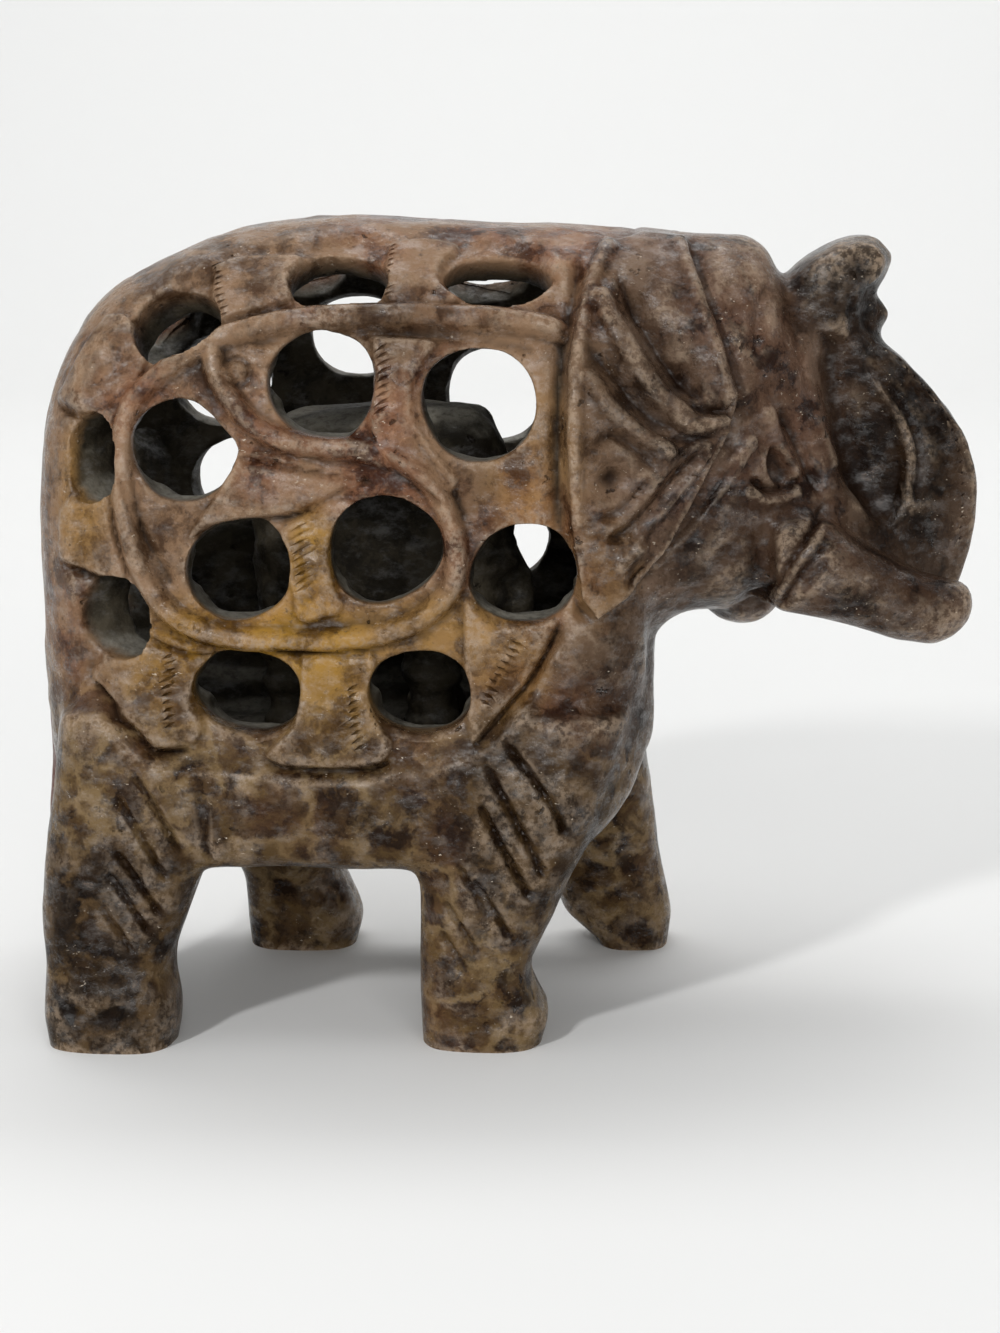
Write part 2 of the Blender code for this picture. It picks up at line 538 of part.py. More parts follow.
def calf():
    """The small elephant, cut free of the walls but still standing on the belly floor by its feet and trunk."""
    stone = bmesh.new()
    add_barrel(stone, CALF_ROWS, CALF_WIDTH, CALF_WAIST, CALF_SQUARENESS)
    floor = BELLY_LOW + BELLY_FLOOR / PART
    half = CALF_LEG_HALF * PART
    for x in CALF_LEG_X:
        for side in (-1, 1):
            centre = side * CALF_LEG_Y * CALF_WIDTH / 2
            rings = []
            for above, swell in CALF_LEG_ROWS:
                u, v = oval(half * swell, half * swell, half * swell, CALF_LEG_SQUARENESS, 18)
                rings.append([(x * PART + a, centre + b, (floor + above) * PART) for a, b in zip(u, v)])
            add_loft(stone, rings)
    add_tube(stone, [(x * PART, y * PART, z * PART, thick * PART, thick * PART) for x, y, z, thick in CALF_TRUNK])
    small = object_from("calf", stone)
    fuse(small, FINE_VOXEL, 4)
    return small


def line_distance(points, line):
    """Distance in X and Z of each point from a broken line, all in parts."""
    nearest = np.full(len(points), np.inf)
    for start, end in zip(np.array(line[:-1], float), np.array(line[1:], float)):
        step = end - start
        t = np.clip((points - start) @ step / (step @ step), 0, 1)
        nearest = np.minimum(nearest, np.linalg.norm(points - start - t[:, None] * step, axis=1))
    return nearest


def hill(distance, half_width):
    return np.exp(-((distance / half_width) ** 2))


def side_relief(points, side):
    """How far the carving stands out of a side, -1 for the near one, in metres, at places in X and Z given in parts."""
    vine, stems, step = (NEAR_VINE, NEAR_STEMS, 0.0) if side < 0 else (FAR_VINE, FAR_STEMS, FAR_LEG_STEP)
    cord = hill(line_distance(points, smooth_rows(vine, 3)), VINE_HALF_WIDTH)
    stalks = [hill(line_distance(points, smooth_rows(stem, 3)), STEM_HALF_WIDTH) for stem in stems]
    raised = VINE_HEIGHT * np.maximum(cord, STEM_SHARE * np.max(stalks, axis=0))
    on_legs = [([(x + step, z) for x, z in line], half_width, depth) for line, half_width, depth in LEG_GROOVES]
    for line, half_width, depth in SIDE_GROOVES + on_legs:
        raised = raised - GROOVE_DEPTH * depth * hill(line_distance(points, smooth_rows(line, 3)), half_width)
    for x, z, radius, depth in PITS:
        raised = raised - GROOVE_DEPTH * depth * hill(np.hypot(points[:, 0] - x, points[:, 1] - z), radius)
    return raised


def carve_sides(obj):
    """Moves the outer skin of both sides in and out by the carving's relief."""
    mesh = obj.data
    count = len(mesh.vertices)
    place = np.empty(count * 3)
    normal = np.empty(count * 3)
    mesh.vertices.foreach_get("co", place)
    mesh.vertices.foreach_get("normal", normal)
    place, normal = place.reshape(-1, 3), normal.reshape(-1, 3)
    outward = normal[:, 1] * np.sign(place[:, 1])
    head = place[:, 0] > HEAD_START * PART
    inner = np.where(head, HEAD_INNER_SHARE * HEAD_WIDTH / 2, BODY_WIDTH / 2 - SKIN_SHARE * WALL)
    facing = np.clip((outward - FACING_START) / (FACING_FULL - FACING_START), 0, 1)
    share = facing * (np.abs(place[:, 1]) > inner)
    near, far = (side_relief(place[:, [0, 2]] / PART, side) for side in (-1, 1))
    moved = place + normal * (share * np.where(place[:, 1] < 0, near, far))[:, None]
    mesh.vertices.foreach_set("co", moved.ravel())
    mesh.update()


def facet(obj):
    """Cuts the skin to a set number of facets, which are largest where the stone is flat."""
    mesh = obj.data
    mesh.calc_loop_triangles()
    cut = obj.modifiers.new("facets", "DECIMATE")
    cut.ratio = min(1.0, FACETS / len(mesh.loop_triangles))
    cut.use_collapse_triangulate = True
    apply_modifiers(obj)


def grind_soles(obj):
    """Grinds the feet flat on the ground."""
    stone = bmesh.new()
    stone.from_mesh(obj.data)
    geometry = stone.verts[:] + stone.edges[:] + stone.faces[:]
    cut = bmesh.ops.bisect_plane(stone, geom=geometry, plane_co=(0, 0, 0), plane_no=(0, 0, 1), clear_inner=True)
    rims = [edge for edge in cut["geom_cut"] if isinstance(edge, bmesh.types.BMEdge)]
    bmesh.ops.edgeloop_fill(stone, edges=rims)
    stone.to_mesh(obj.data)
    stone.free()


def centre_on_ground(obj):
    """Puts the origin under the middle of the figure's box."""
    corners = np.array([vertex.co for vertex in obj.data.vertices])
    middle = (corners.min(axis=0) + corners.max(axis=0)) / 2
    obj.data.transform(Matrix.Translation((-middle[0], -middle[1], 0.0)))


def stone_material():
    material = bpy.data.materials.new("soapstone")
    material.use_nodes = True
    shader = material.node_tree.nodes["Principled BSDF"]
    shader.inputs["Base Color"].default_value = (0.13, 0.075, 0.042, 1.0)
    shader.inputs["Roughness"].default_value = 0.38
    shader.inputs["Metallic"].default_value = 0.0
    return material


def elephant():
    stone = bmesh.new()
    add_barrel(stone, BODY_ROWS, BODY_WIDTH, BODY_WAIST, BODY_SQUARENESS)
    add_barrel(stone, HEAD_ROWS, HEAD_WIDTH, HEAD_WAIST, HEAD_SQUARENESS)
    girdle(stone)
    add_leg(stone, BACK_HIND_LEG, -1)
    add_leg(stone, BACK_FORE_LEG, -1)
    add_leg(stone, FORWARD_HIND_LEG, 1)
    add_leg(stone, FORWARD_FORE_LEG, 1)
    trunk(stone)
    tusks(stone)
    chin(stone)
    tail(stone)
    figure = object_from("elephant", stone)
    fuse(figure, ROUGH_VOXEL, 4)
    combine(figure, [ears()], "UNION")
    combine(figure, [cavity_tool(), *hole_tools()], "DIFFERENCE")
    combine(figure, [calf()], "UNION")
    fuse(figure, FINE_VOXEL, 2)
    carve_sides(figure)
    facet(figure)
    grind_soles(figure)
    centre_on_ground(figure)
    figure.data.materials.clear()
    figure.data.materials.append(stone_material())
    figure.data.shade_smooth()
    figure.data.set_sharp_from_angle(angle=np.radians(50))


clear_scene()
elephant()
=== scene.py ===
"""A soapstone elephant carved in openwork, standing on a pale floor in soft studio light.

Metres, +Z up, trunk towards +X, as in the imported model. The near side is the elephant's right, towards -Y.
"""

import bmesh
import bpy
import numpy as np
from mathutils import Matrix, Vector
from mathutils.bvhtree import BVHTree


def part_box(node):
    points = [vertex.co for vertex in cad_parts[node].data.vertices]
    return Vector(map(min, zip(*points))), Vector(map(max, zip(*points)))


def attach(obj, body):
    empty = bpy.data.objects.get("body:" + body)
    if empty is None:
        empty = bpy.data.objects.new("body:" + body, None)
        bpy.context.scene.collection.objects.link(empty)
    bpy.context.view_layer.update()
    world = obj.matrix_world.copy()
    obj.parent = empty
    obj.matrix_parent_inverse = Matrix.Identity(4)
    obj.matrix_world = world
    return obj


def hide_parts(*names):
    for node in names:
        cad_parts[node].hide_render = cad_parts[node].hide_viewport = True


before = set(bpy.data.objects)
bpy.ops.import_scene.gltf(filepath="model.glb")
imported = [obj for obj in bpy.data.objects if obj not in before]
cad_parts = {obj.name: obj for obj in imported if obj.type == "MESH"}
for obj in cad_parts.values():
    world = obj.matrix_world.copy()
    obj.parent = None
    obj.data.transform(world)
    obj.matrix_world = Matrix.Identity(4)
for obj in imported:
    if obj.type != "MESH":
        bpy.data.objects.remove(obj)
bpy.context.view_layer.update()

# The body. A sculptor roughs the whole figure out of one piece of soapstone with a saw and a chisel, so body, head,
# legs, trunk and tail are one skin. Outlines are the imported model's, along X and up, in parts of the height.
HEIGHT = 0.1012
PARTS = 101.2
PART = HEIGHT / PARTS
BODY_WIDTH = 0.0508
# Length, top, underside, and half width as a share of BODY_WIDTH / 2, rump to chest
BODY_ROWS = [
    (-58.4, 69.0, 38.0, 0.20),
    (-58.0, 75.0, 30.0, 0.42),
    (-56.6, 80.6, 25.5, 0.63),
    (-53.8, 86.8, 23.5, 0.80),
    (-49.5, 92.0, 22.8, 0.92),
    (-42.0, 96.4, 22.5, 0.98),
    (-34.0, 99.4, 22.5, 1.00),
    (-22.0, 101.0, 22.5, 1.00),
    (-8.0, 100.4, 22.6, 1.00),
    (4.0, 100.0, 23.5, 1.00),
    (12.0, 99.6, 30.0, 0.96),
    (17.5, 99.0, 41.0, 0.82),
]
BODY_WAIST = 60.0
BODY_SQUARENESS = 2.9


def smooth_rows(rows, steps=4):
    """Rows with further rows between them, on a Catmull-Rom curve through the ones given."""
    table = np.array(rows, float)
    padded = np.vstack([2 * table[0] - table[1], table, 2 * table[-1] - table[-2]])
    found = []
    for i in range(1, len(padded) - 2):
        before, start, end, after = padded[i - 1 : i + 3]
        for t in np.arange(steps) / steps:
            bend = 2 * start + (end - before) * t
            bend = bend + (2 * before - 5 * start + 4 * end - after) * t**2
            found.append((bend + (3 * start - before - 3 * end + after) * t**3) / 2)
    return np.array(found + [table[-1]])


def oval(half_u, half_v_up, half_v_down, power, sides=36, power_down=None):
    """Points of an oval with squared shoulders. Its height and squareness can differ above and below its middle."""
    turn = np.arange(sides) * 2 * np.pi / sides
    cosine, sine = np.cos(turn), np.sin(turn)
    powers = np.where(sine > 0, power, power_down or power)
    u = half_u * np.sign(cosine) * np.abs(cosine) ** (2 / powers)
    v = np.sign(sine) * np.abs(sine) ** (2 / powers) * np.where(sine > 0, half_v_up, half_v_down)
    return u, v


def add_loft(stone, rings):
    """Adds to the bmesh a closed form that passes through the rings, which have as many points each."""
    grown = [[stone.verts.new(Vector(point)) for point in ring] for ring in rings]
    sides = len(grown[0])
    for near, far in zip(grown, grown[1:]):
        for i in range(sides):
            j = (i + 1) % sides
            stone.faces.new((near[i], near[j], far[j], far[i]))
    stone.faces.new(grown[0][::-1])
    stone.faces.new(grown[-1])


def add_barrel(stone, rows, width, waist, power):
    """Adds a form lofted along X. Each row is its place, top, underside and half width as a share of width / 2."""
    rings = []
    for x, top, low, share in smooth_rows(rows):
        middle = min(max(waist, low + 0.5), top - 0.5)
        y, z = oval(share * width / 2, (top - middle) * PART, (middle - low) * PART, power)
        rings.append([(x * PART, a, middle * PART + b) for a, b in zip(y, z)])
    add_loft(stone, rings)


# The head. It grows out of the shoulders with no neck, in the same stone, and narrows to the root of the trunk. The
# lower lip is a rounded lump under it, and the tusks lie along the cheeks.
HEAD_WIDTH = 0.0400
# Length, crown, chin, and half width as a share of HEAD_WIDTH / 2
HEAD_ROWS = [
    (8.0, 98.0, 42.0, 1.10),
    (16.0, 98.8, 47.5, 1.08),
    (22.0, 98.9, 51.8, 1.03),
    (27.5, 98.8, 52.0, 0.96),
    (30.8, 98.0, 52.5, 0.87),
    (33.0, 95.0, 53.2, 0.79),
    (34.4, 90.8, 53.8, 0.75),
    (36.2, 87.0, 54.0, 0.71),
    (38.8, 80.5, 53.6, 0.66),
    (40.8, 73.5, 53.0, 0.62),
    (43.5, 67.0, 52.5, 0.57),
    (47.5, 61.5, 52.0, 0.48),
    (52.0, 57.0, 52.5, 0.36),
]
HEAD_WAIST = 66.0
HEAD_SQUARENESS = 3.0
# The lower lip's middle, along X and up, and its three half sizes
CHIN = (29.8, 53.4, 4.9, 7.5, 4.0)
# Tusk, root to tip: position along X, middle height, half height, and middle and half width as shares of HEAD_WIDTH / 2
TUSK_ROWS = [
    (33.0, 59.6, 6.4, 0.66, 0.34),
    (37.0, 59.2, 6.4, 0.68, 0.33),
    (41.0, 57.8, 5.8, 0.68, 0.32),
    (45.0, 55.6, 4.9, 0.67, 0.31),
    (49.5, 54.0, 4.5, 0.65, 0.29),
    (53.5, 53.3, 3.9, 0.62, 0.26),
    (56.2, 53.9, 2.8, 0.60, 0.20),
    (57.4, 54.3, 1.5, 0.59, 0.12),
]
TUSK_SQUARENESS = 2.4


def chin(stone):
    x, z, half_x, half_y, half_z = CHIN
    place = Matrix.Translation((x * PART, 0.0, z * PART)) @ Matrix.Diagonal((half_x, half_y, half_z, 1.0))
    bmesh.ops.create_icosphere(stone, subdivisions=3, radius=PART, matrix=place)


def tusks(stone):
    for side in (-1, 1):
        rings = []
        for x, z, half_z, middle, half_y in smooth_rows(TUSK_ROWS, 3):
            y, v = oval(half_y * HEAD_WIDTH / 2, half_z * PART, half_z * PART, TUSK_SQUARENESS, 20)
            centre = side * middle * HEAD_WIDTH / 2
            rings.append([(x * PART, centre + a, z * PART + b) for a, b in zip(y, v)])
        add_loft(stone, rings)


# The legs and the girdle. Four posts, sawn square and rounded with a rasp, carry a solid band of belly and flanks
# that is left under the openwork. The right legs stand further back than the left ones.
HIP_WIDTH = 0.0556
# Sole to hip: height, middle and half length along X, middle and half width as shares of HIP_WIDTH / 2
LEG_SQUARENESS = 3.0
BACK_HIND_LEG = [
    (-3.0, -48.4, 7.8, 0.78, 0.24),
    (0.0, -48.4, 7.9, 0.78, 0.245),
    (2.5, -48.5, 8.5, 0.77, 0.255),
    (6.0, -48.5, 8.2, 0.76, 0.25),
    (10.0, -48.8, 7.9, 0.74, 0.25),
    (15.0, -48.3, 8.9, 0.71, 0.275),
    (22.0, -46.8, 10.0, 0.68, 0.31),
    (32.0, -45.0, 10.6, 0.63, 0.36),
    (42.0, -44.4, 10.4, 0.56, 0.40),
]
FORWARD_HIND_LEG = [
    (-3.0, -29.6, 7.2, 0.77, 0.225),
    (0.0, -29.6, 7.3, 0.77, 0.23),
    (3.5, -29.3, 8.0, 0.76, 0.24),
    (7.0, -29.9, 7.6, 0.75, 0.24),
    (11.0, -31.2, 6.9, 0.73, 0.25),
    (16.0, -34.0, 8.0, 0.71, 0.275),
    (23.0, -39.0, 10.5, 0.68, 0.31),
    (32.0, -43.8, 11.2, 0.63, 0.36),
    (42.0, -44.4, 10.4, 0.56, 0.40),
]
BACK_FORE_LEG = [
    (-3.0, -2.6, 7.2, 0.69, 0.24),
    (0.0, -2.6, 7.4, 0.69, 0.24),
    (3.5, -2.1, 8.0, 0.70, 0.25),
    (6.5, -2.9, 7.2, 0.70, 0.25),
    (10.0, -3.4, 6.8, 0.71, 0.25),
    (16.0, -2.0, 8.2, 0.71, 0.27),
    (23.0, -0.4, 9.8, 0.69, 0.30),
    (31.0, 2.0, 11.0, 0.66, 0.33),
    (42.0, 5.0, 11.0, 0.58, 0.38),
]
FORWARD_FORE_LEG = [
    (-3.0, 16.8, 4.4, 0.83, 0.21),
    (0.0, 16.7, 4.6, 0.83, 0.22),
    (3.0, 15.3, 6.6, 0.82, 0.23),
    (6.0, 14.0, 7.6, 0.81, 0.235),
    (11.0, 13.0, 7.6, 0.79, 0.24),
    (19.0, 11.5, 7.9, 0.75, 0.26),
    (27.0, 9.5, 8.6, 0.69, 0.30),
    (36.0, 7.5, 9.8, 0.66, 0.33),
    (45.0, 6.0, 10.0, 0.58, 0.38),
]
# Length, half width as a share of HIP_WIDTH / 2, and underside. The band's top dies into the body.
GIRDLE_ROWS = [
    (-57.2, 0.30, 23.5), (-54.6, 0.68, 22.2), (-50.0, 0.88, 21.8), (-44.0, 0.96, 21.8),
    (-30.0, 0.97, 21.8), (-6.0, 0.97, 21.8), (4.0, 0.95, 22.2), (9.0, 0.88, 24.0), (13.0, 0.78, 27.0),
    (16.0, 0.64, 31.0), (18.6, 0.42, 37.0),
]
GIRDLE_WAIST, GIRDLE_TOP = 32.0, 62.0
GIRDLE_SQUARENESS, GIRDLE_SQUARENESS_BELOW = 2.3, 7.0
GIRDLE_DEPTH = 5.0


def add_leg(stone, rows, side):
    """Adds a leg lofted along Z, on the side of the body that side gives: -1 for the right, 1 for the left."""
    rings = []
    for z, x, half_x, middle, half_y in smooth_rows(rows, 3):
        u, v = oval(half_x * PART, half_y * HIP_WIDTH / 2, half_y * HIP_WIDTH / 2, LEG_SQUARENESS, 28)
        centre = side * middle * HIP_WIDTH / 2
        rings.append([(x * PART + a, centre + b, z * PART) for a, b in zip(u, v)])
    add_loft(stone, rings)


def girdle(stone):
    """The solid band under the openwork, square in section, which the legs grow from."""
    rings = []
    for x, share, low in smooth_rows(GIRDLE_ROWS, 3):
        waist = max(GIRDLE_WAIST, low + GIRDLE_DEPTH)
        up, down = (GIRDLE_TOP - waist) * PART, (waist - low) * PART
        y, z = oval(share * HIP_WIDTH / 2, up, down, GIRDLE_SQUARENESS, power_down=GIRDLE_SQUARENESS_BELOW)
        rings.append([(x * PART, a, waist * PART + b) for a, b in zip(y, z)])
    add_loft(stone, rings)


# The trunk. It is raised against the forehead in one slab with the face, thick along its flanks, and thins to a rim
# that faces forward. A small lip stands where it curls over.
TRUNK_THICKNESS = 0.0160
# Each row is a point of the rim, then its point of the flank
TRUNK_ROWS = [
    ((51.5, 50.8), (47.0, 54.0)), ((56.8, 53.5), (49.0, 58.0)), ((58.4, 58.5), (49.6, 62.5)),
    ((59.2, 63.5), (50.3, 66.4)), ((59.2, 68.0), (50.8, 70.2)), ((57.9, 72.8), (50.2, 73.9)),
    ((55.4, 76.9), (48.8, 77.1)), ((52.5, 80.2), (46.5, 80.0)), ((49.0, 83.6), (44.4, 83.3)),
    ((45.6, 86.4), (42.4, 86.4)), ((45.4, 89.0), (42.2, 88.8)), ((45.3, 91.4), (42.8, 91.2)),
    ((47.1, 93.6), (45.6, 93.8)), ((48.0, 96.2), (46.4, 95.8)), ((45.4, 98.8), (44.2, 97.8)),
    ((41.0, 98.3), (40.6, 97.0)), ((36.7, 95.7), (37.2, 94.4)), ((33.2, 92.2), (35.4, 90.8)),
    ((33.0, 86.0), (37.6, 86.0)), ((34.0, 78.0), (39.6, 79.0)), ((35.0, 68.0), (42.0, 71.0)),
    ((36.0, 58.0), (43.5, 63.0)), ((40.0, 52.6), (44.0, 56.5)),
]
TRUNK_RIM_SHARE = 0.38
TRUNK_LIP = (46.0, 88.7, 1.9)


def add_slab(stone, layers):
    """Adds a form lofted along Y. Each layer is a height along Y, then its outline in X and Z."""
    add_loft(stone, [[(x * PART, y, z * PART) for x, z in outline] for y, outline in layers])


def trunk(stone):
    """The trunk is raised against the forehead. Its flanks are thick, and it thins to a rim that faces forward."""
    rim = [row[0] for row in TRUNK_ROWS]
    flank = [row[1] for row in TRUNK_ROWS]
    half = TRUNK_THICKNESS / 2
    layers = [(-half, flank), (-half * TRUNK_RIM_SHARE, rim), (half * TRUNK_RIM_SHARE, rim), (half, flank)]
    add_slab(stone, layers)
    x, z, radius = TRUNK_LIP
    place = Matrix.Translation((x * PART, 0.0, z * PART))
    bmesh.ops.create_icosphere(stone, subdivisions=2, radius=radius * PART, matrix=place)


# The tail. A cord of stone left standing on the rump and the near hind leg, from the dock to a flat tuft. It was rubbed
# less than the rest and keeps a dull red skin.
TAIL_WIDTH = 0.0056
# Dock to tuft: point of its middle line, and its half width and half depth as shares of TAIL_WIDTH / 2
TAIL_ROWS = [
    (-56.6, 0.0, 78.0, 0.8, 0.6), (-57.8, 0.0, 71.0, 0.95, 0.62), (-58.1, -0.6, 58.0, 0.95, 0.62),
    (-58.0, -2.0, 44.0, 0.9, 0.62), (-57.4, -4.4, 32.0, 0.9, 0.66), (-56.9, -8.0, 22.0, 1.0, 0.75),
    (-56.2, -11.0, 15.0, 1.25, 0.9), (-55.8, -13.0, 10.5, 1.15, 0.95), (-55.0, -14.0, 8.0, 0.6, 0.8),
]
TUBE_SQUARENESS = 2.2


def add_tube(stone, rows, sides=16):
    """Adds a round form along a line. Each row is a point in metres, a half width along Y, and a half depth."""
    table = smooth_rows(rows, 3)
    points = table[:, :3]
    along = np.gradient(points, axis=0)
    rings = []
    for point, direction, half_y, depth in zip(points, along, table[:, 3], table[:, 4]):
        across = np.cross(direction, (0.0, 1.0, 0.0))
        across = across / np.linalg.norm(across)
        u, v = oval(half_y, depth, depth, TUBE_SQUARENESS, sides)
        rings.append([point + np.array((0.0, a, 0.0)) + across * b for a, b in zip(u, v)])
    add_loft(stone, rings)


def tail(stone):
    half = TAIL_WIDTH / 2
    rows = [(x * PART, y * PART, z * PART, wide * half, deep * half) for x, y, z, wide, deep in TAIL_ROWS]
    add_tube(stone, rows)


# The ears. Two flat leaves of stone that lie along the shoulders and stand a little proud of the sides. They are
# carved in place, so their face follows the body's.
EAR_RELIEF = 0.0012
EAR_OUTLINE = [
    (11.6, 97.6), (16.5, 99.2), (21.7, 98.6), (23.9, 92.9), (26.2, 85.9), (28.0, 80.1), (26.6, 75.2),
    (22.9, 68.3), (19.3, 61.7), (15.2, 56.5), (11.6, 53.9), (9.6, 56.3), (8.2, 65.8), (7.6, 75.3),
    (8.0, 84.7), (9.4, 92.4),
]
# The face of the ears, with rows like the body's
EAR_ROWS = [
    (4.0, 99.6, 30.0, 1.00),
    (9.0, 99.6, 30.0, 1.00),
    (14.0, 99.8, 30.0, 0.97),
    (19.0, 99.9, 30.0, 0.92),
    (24.0, 99.6, 30.0, 0.86),
    (31.0, 99.0, 30.0, 0.78),
]


def object_from(name, stone):
    bmesh.ops.recalc_face_normals(stone, faces=stone.faces)
    mesh = bpy.data.meshes.new(name)
    stone.to_mesh(mesh)
    stone.free()
    obj = bpy.data.objects.new(name, mesh)
    bpy.context.scene.collection.objects.link(obj)
    return obj


def apply_modifiers(obj):
    """Makes the evaluated mesh the object's own."""
    graph = bpy.context.evaluated_depsgraph_get()
    mesh = bpy.data.meshes.new_from_object(obj.evaluated_get(graph))
    obj.modifiers.clear()
    obj.data = mesh


def combine(obj, tools, operation):
    """Cuts the tools out of the object, or joins them to it, and removes them."""
    for tool in tools:
        step = obj.modifiers.new(tool.name, "BOOLEAN")
        step.solver = "MANIFOLD"
        step.operation = operation
        step.object = tool
    bpy.context.view_layer.update()
    apply_modifiers(obj)
    for tool in tools:
        bpy.data.objects.remove(tool)


def ears():
    """Both ears in one, which lie flat along the shoulders and stand a little proud of the sides."""
    stone = bmesh.new()
    add_barrel(stone, EAR_ROWS, BODY_WIDTH + 2 * EAR_RELIEF, BODY_WAIST, BODY_SQUARENESS)
    both = object_from("ears", stone)
    stone = bmesh.new()
    add_slab(stone, [(side * BODY_WIDTH, EAR_OUTLINE) for side in (-1, 1)])
    combine(both, [object_from("ear_outline", stone)], "INTERSECT")
    return both


# The hollow and its openings. The body is drilled and cut out through the openings in its walls with small chisels,
# which leaves a thin wall, a solid belly floor and the small elephant standing free inside.
WALL = 0.0066
BELLY_FLOOR = 0.0105
BELLY_LOW = 21.8
CAVITY_SQUARENESS = 3.8
CEILING_SHARE = 0.8
CAVITY_END, CAVITY_RINGS = 12.6, 26
# Where the hollow narrows towards the rump, and over what length
RUMP_START, RUMP_LENGTH = -18.0, 48.0
# The floor rises towards the rump and the chest: how far from the end or from where, and how steeply
REAR_REACH, REAR_SLOPE = 5, 1.4
CHEST_START, CHEST_SLOPE = 8.0, 2.0
# Near openings: the middle of the outline, the cutter's rise above the level, its turn towards the tail, both in
# degrees, and the outline's radii every 30 degrees, the first towards the trunk
NEAR_HOLES = [
    (-37.8, 73.9, 0, 0, [6.4, 5.2, 5.4, 6.2, 6.4, 6.8, 6.5, 6.3, 6.4, 6.2, 6.1, 6.1]),
    (-21.6, 81.9, 0, 0, [6.4, 6.7, 6.7, 6.4, 6.4, 6.4, 6.4, 6.2, 6.4, 6.4, 7.2, 6.8]),
    (-2.8, 79.3, 0, 0, [6.8, 7.0, 7.0, 6.8, 7.0, 7.2, 6.8, 6.4, 6.8, 6.7, 6.7, 6.9]),
    (-13.7, 61.8, 0, 0, [6.7, 6.7, 6.6, 6.7, 6.9, 6.9, 6.7, 7.1, 7.0, 6.3, 5.9, 6.1]),
    (-31.6, 59.3, 0, 0, [6.4, 6.7, 7.0, 5.8, 5.9, 6.2, 6.4, 6.3, 6.2, 6.1, 6.0, 6.5]),
    (2.4, 59.2, 0, 0, [6.5, 6.5, 6.3, 5.9, 5.8, 5.7, 6.1, 6.5, 6.1, 5.9, 6.2, 6.6]),
    (-30.9, 44.3, 0, 0, [6.7, 6.4, 5.4, 4.9, 5.9, 6.5, 6.6, 5.5, 5.0, 5.0, 5.7, 6.6]),
    (-9.9, 44.4, 0, 0, [6.3, 6.3, 5.6, 5.1, 5.4, 6.3, 6.2, 5.8, 5.1, 5.0, 5.5, 6.2]),
    (-38.9, 89.0, 40, 12, [5.3, 5.1, 4.9, 5.0, 5.3, 5.6, 5.6, 5.7, 5.5, 4.2, 4.0, 4.5]),
    (-19.8, 94.5, 42, 0, [6.1, 5.4, 4.2, 4.1, 4.5, 5.1, 5.8, 5.8, 4.7, 4.3, 4.4, 6.0]),
    (-0.6, 94.4, 42, 0, [6.4, 5.5, 4.2, 3.9, 4.4, 5.7, 6.7, 5.3, 4.4, 3.9, 4.1, 5.0]),
    (-49.9, 72.5, 0, 45, [3.2, 3.4, 4.4, 5.8, 4.8, 3.6, 3.0, 3.2, 4.2, 5.4, 5.0, 3.8]),
    (-47.4, 53.3, 0, 42, [3.9, 4.1, 4.8, 5.2, 4.7, 4.1, 3.9, 3.8, 4.2, 5.0, 5.2, 4.5]),
]
# Far openings, set out apart from the near ones, each an oval: its middle, rise, turn and half sizes
FAR_HOLES = [
    (-39.3, 78.8, 0, 0, 6.2, 5.9),
    (-20.9, 84.9, 0, 0, 6.6, 5.6),
    (-2.7, 77.0, 0, 0, 6.5, 6.4),
    (-19.4, 67.0, 0, 0, 6.0, 5.8),
    (-37.2, 65.2, 0, 0, 6.3, 5.6),
    (-1.7, 57.6, 0, 0, 6.2, 6.2),
    (-28.6, 49.8, 0, 0, 6.3, 5.0),
    (-12.4, 48.4, 0, 0, 6.2, 5.0),
    (-49.2, 89.2, 38, 40, 6.0, 5.4),
    (-27.6, 95.8, 42, 0, 5.4, 3.6),
    (-4.4, 95.4, 42, 0, 6.2, 3.8),
    (-55.2, 67.0, 0, 58, 3.4, 5.4),
    (-56.0, 47.6, 0, 66, 3.2, 4.8),
]
HOLE_SIDES = 30
HOLE_REACH_IN = 2.0
HOLE_REACH_OUT = 0.9
FAR_HOLE_SQUARENESS = 2.15


def cavity_tool():
    """The hollow inside the body: its own shape, a wall's thickness in on every side, down to the belly floor."""
    inset = WALL / PART
    floor = BELLY_LOW + BELLY_FLOOR / PART
    table = smooth_rows(BODY_ROWS)
    start = BODY_ROWS[0][0] + inset
    rings = []
    for x in np.linspace(start, CAVITY_END, CAVITY_RINGS):
        shift = inset * min(0.5, max(0.0, (RUMP_START - x) / RUMP_LENGTH))
        top, share = (np.interp(x - shift, table[:, 0], table[:, column]) for column in (1, 3))
        ceiling = top - CEILING_SHARE * inset
        half = max(share * BODY_WIDTH / 2 - WALL, 2 * PART)
        low = floor + max(0.0, (start + REAR_REACH - x)) * REAR_SLOPE + max(0.0, x - CHEST_START) * CHEST_SLOPE
        y, z = oval(half, (ceiling - BODY_WAIST) * PART, (BODY_WAIST - low) * PART, CAVITY_SQUARENESS)
        rings.append([(x * PART, a, BODY_WAIST * PART + b) for a, b in zip(y, z)])
    stone = bmesh.new()
    add_loft(stone, rings)
    return object_from("cavity_tool", stone)


def body_half_width(x, z):
    """Half the body's width at a place in X and Z, all in parts."""
    table = smooth_rows(BODY_ROWS)
    top, low, share = (np.interp(x, table[:, 0], table[:, column]) for column in (1, 2, 3))
    height = (z - BODY_WAIST) / (top - BODY_WAIST if z > BODY_WAIST else BODY_WAIST - low)
    return share * BODY_WIDTH / 2 / PART * max(0.0, 1 - abs(height) ** BODY_SQUARENESS) ** (1 / BODY_SQUARENESS)


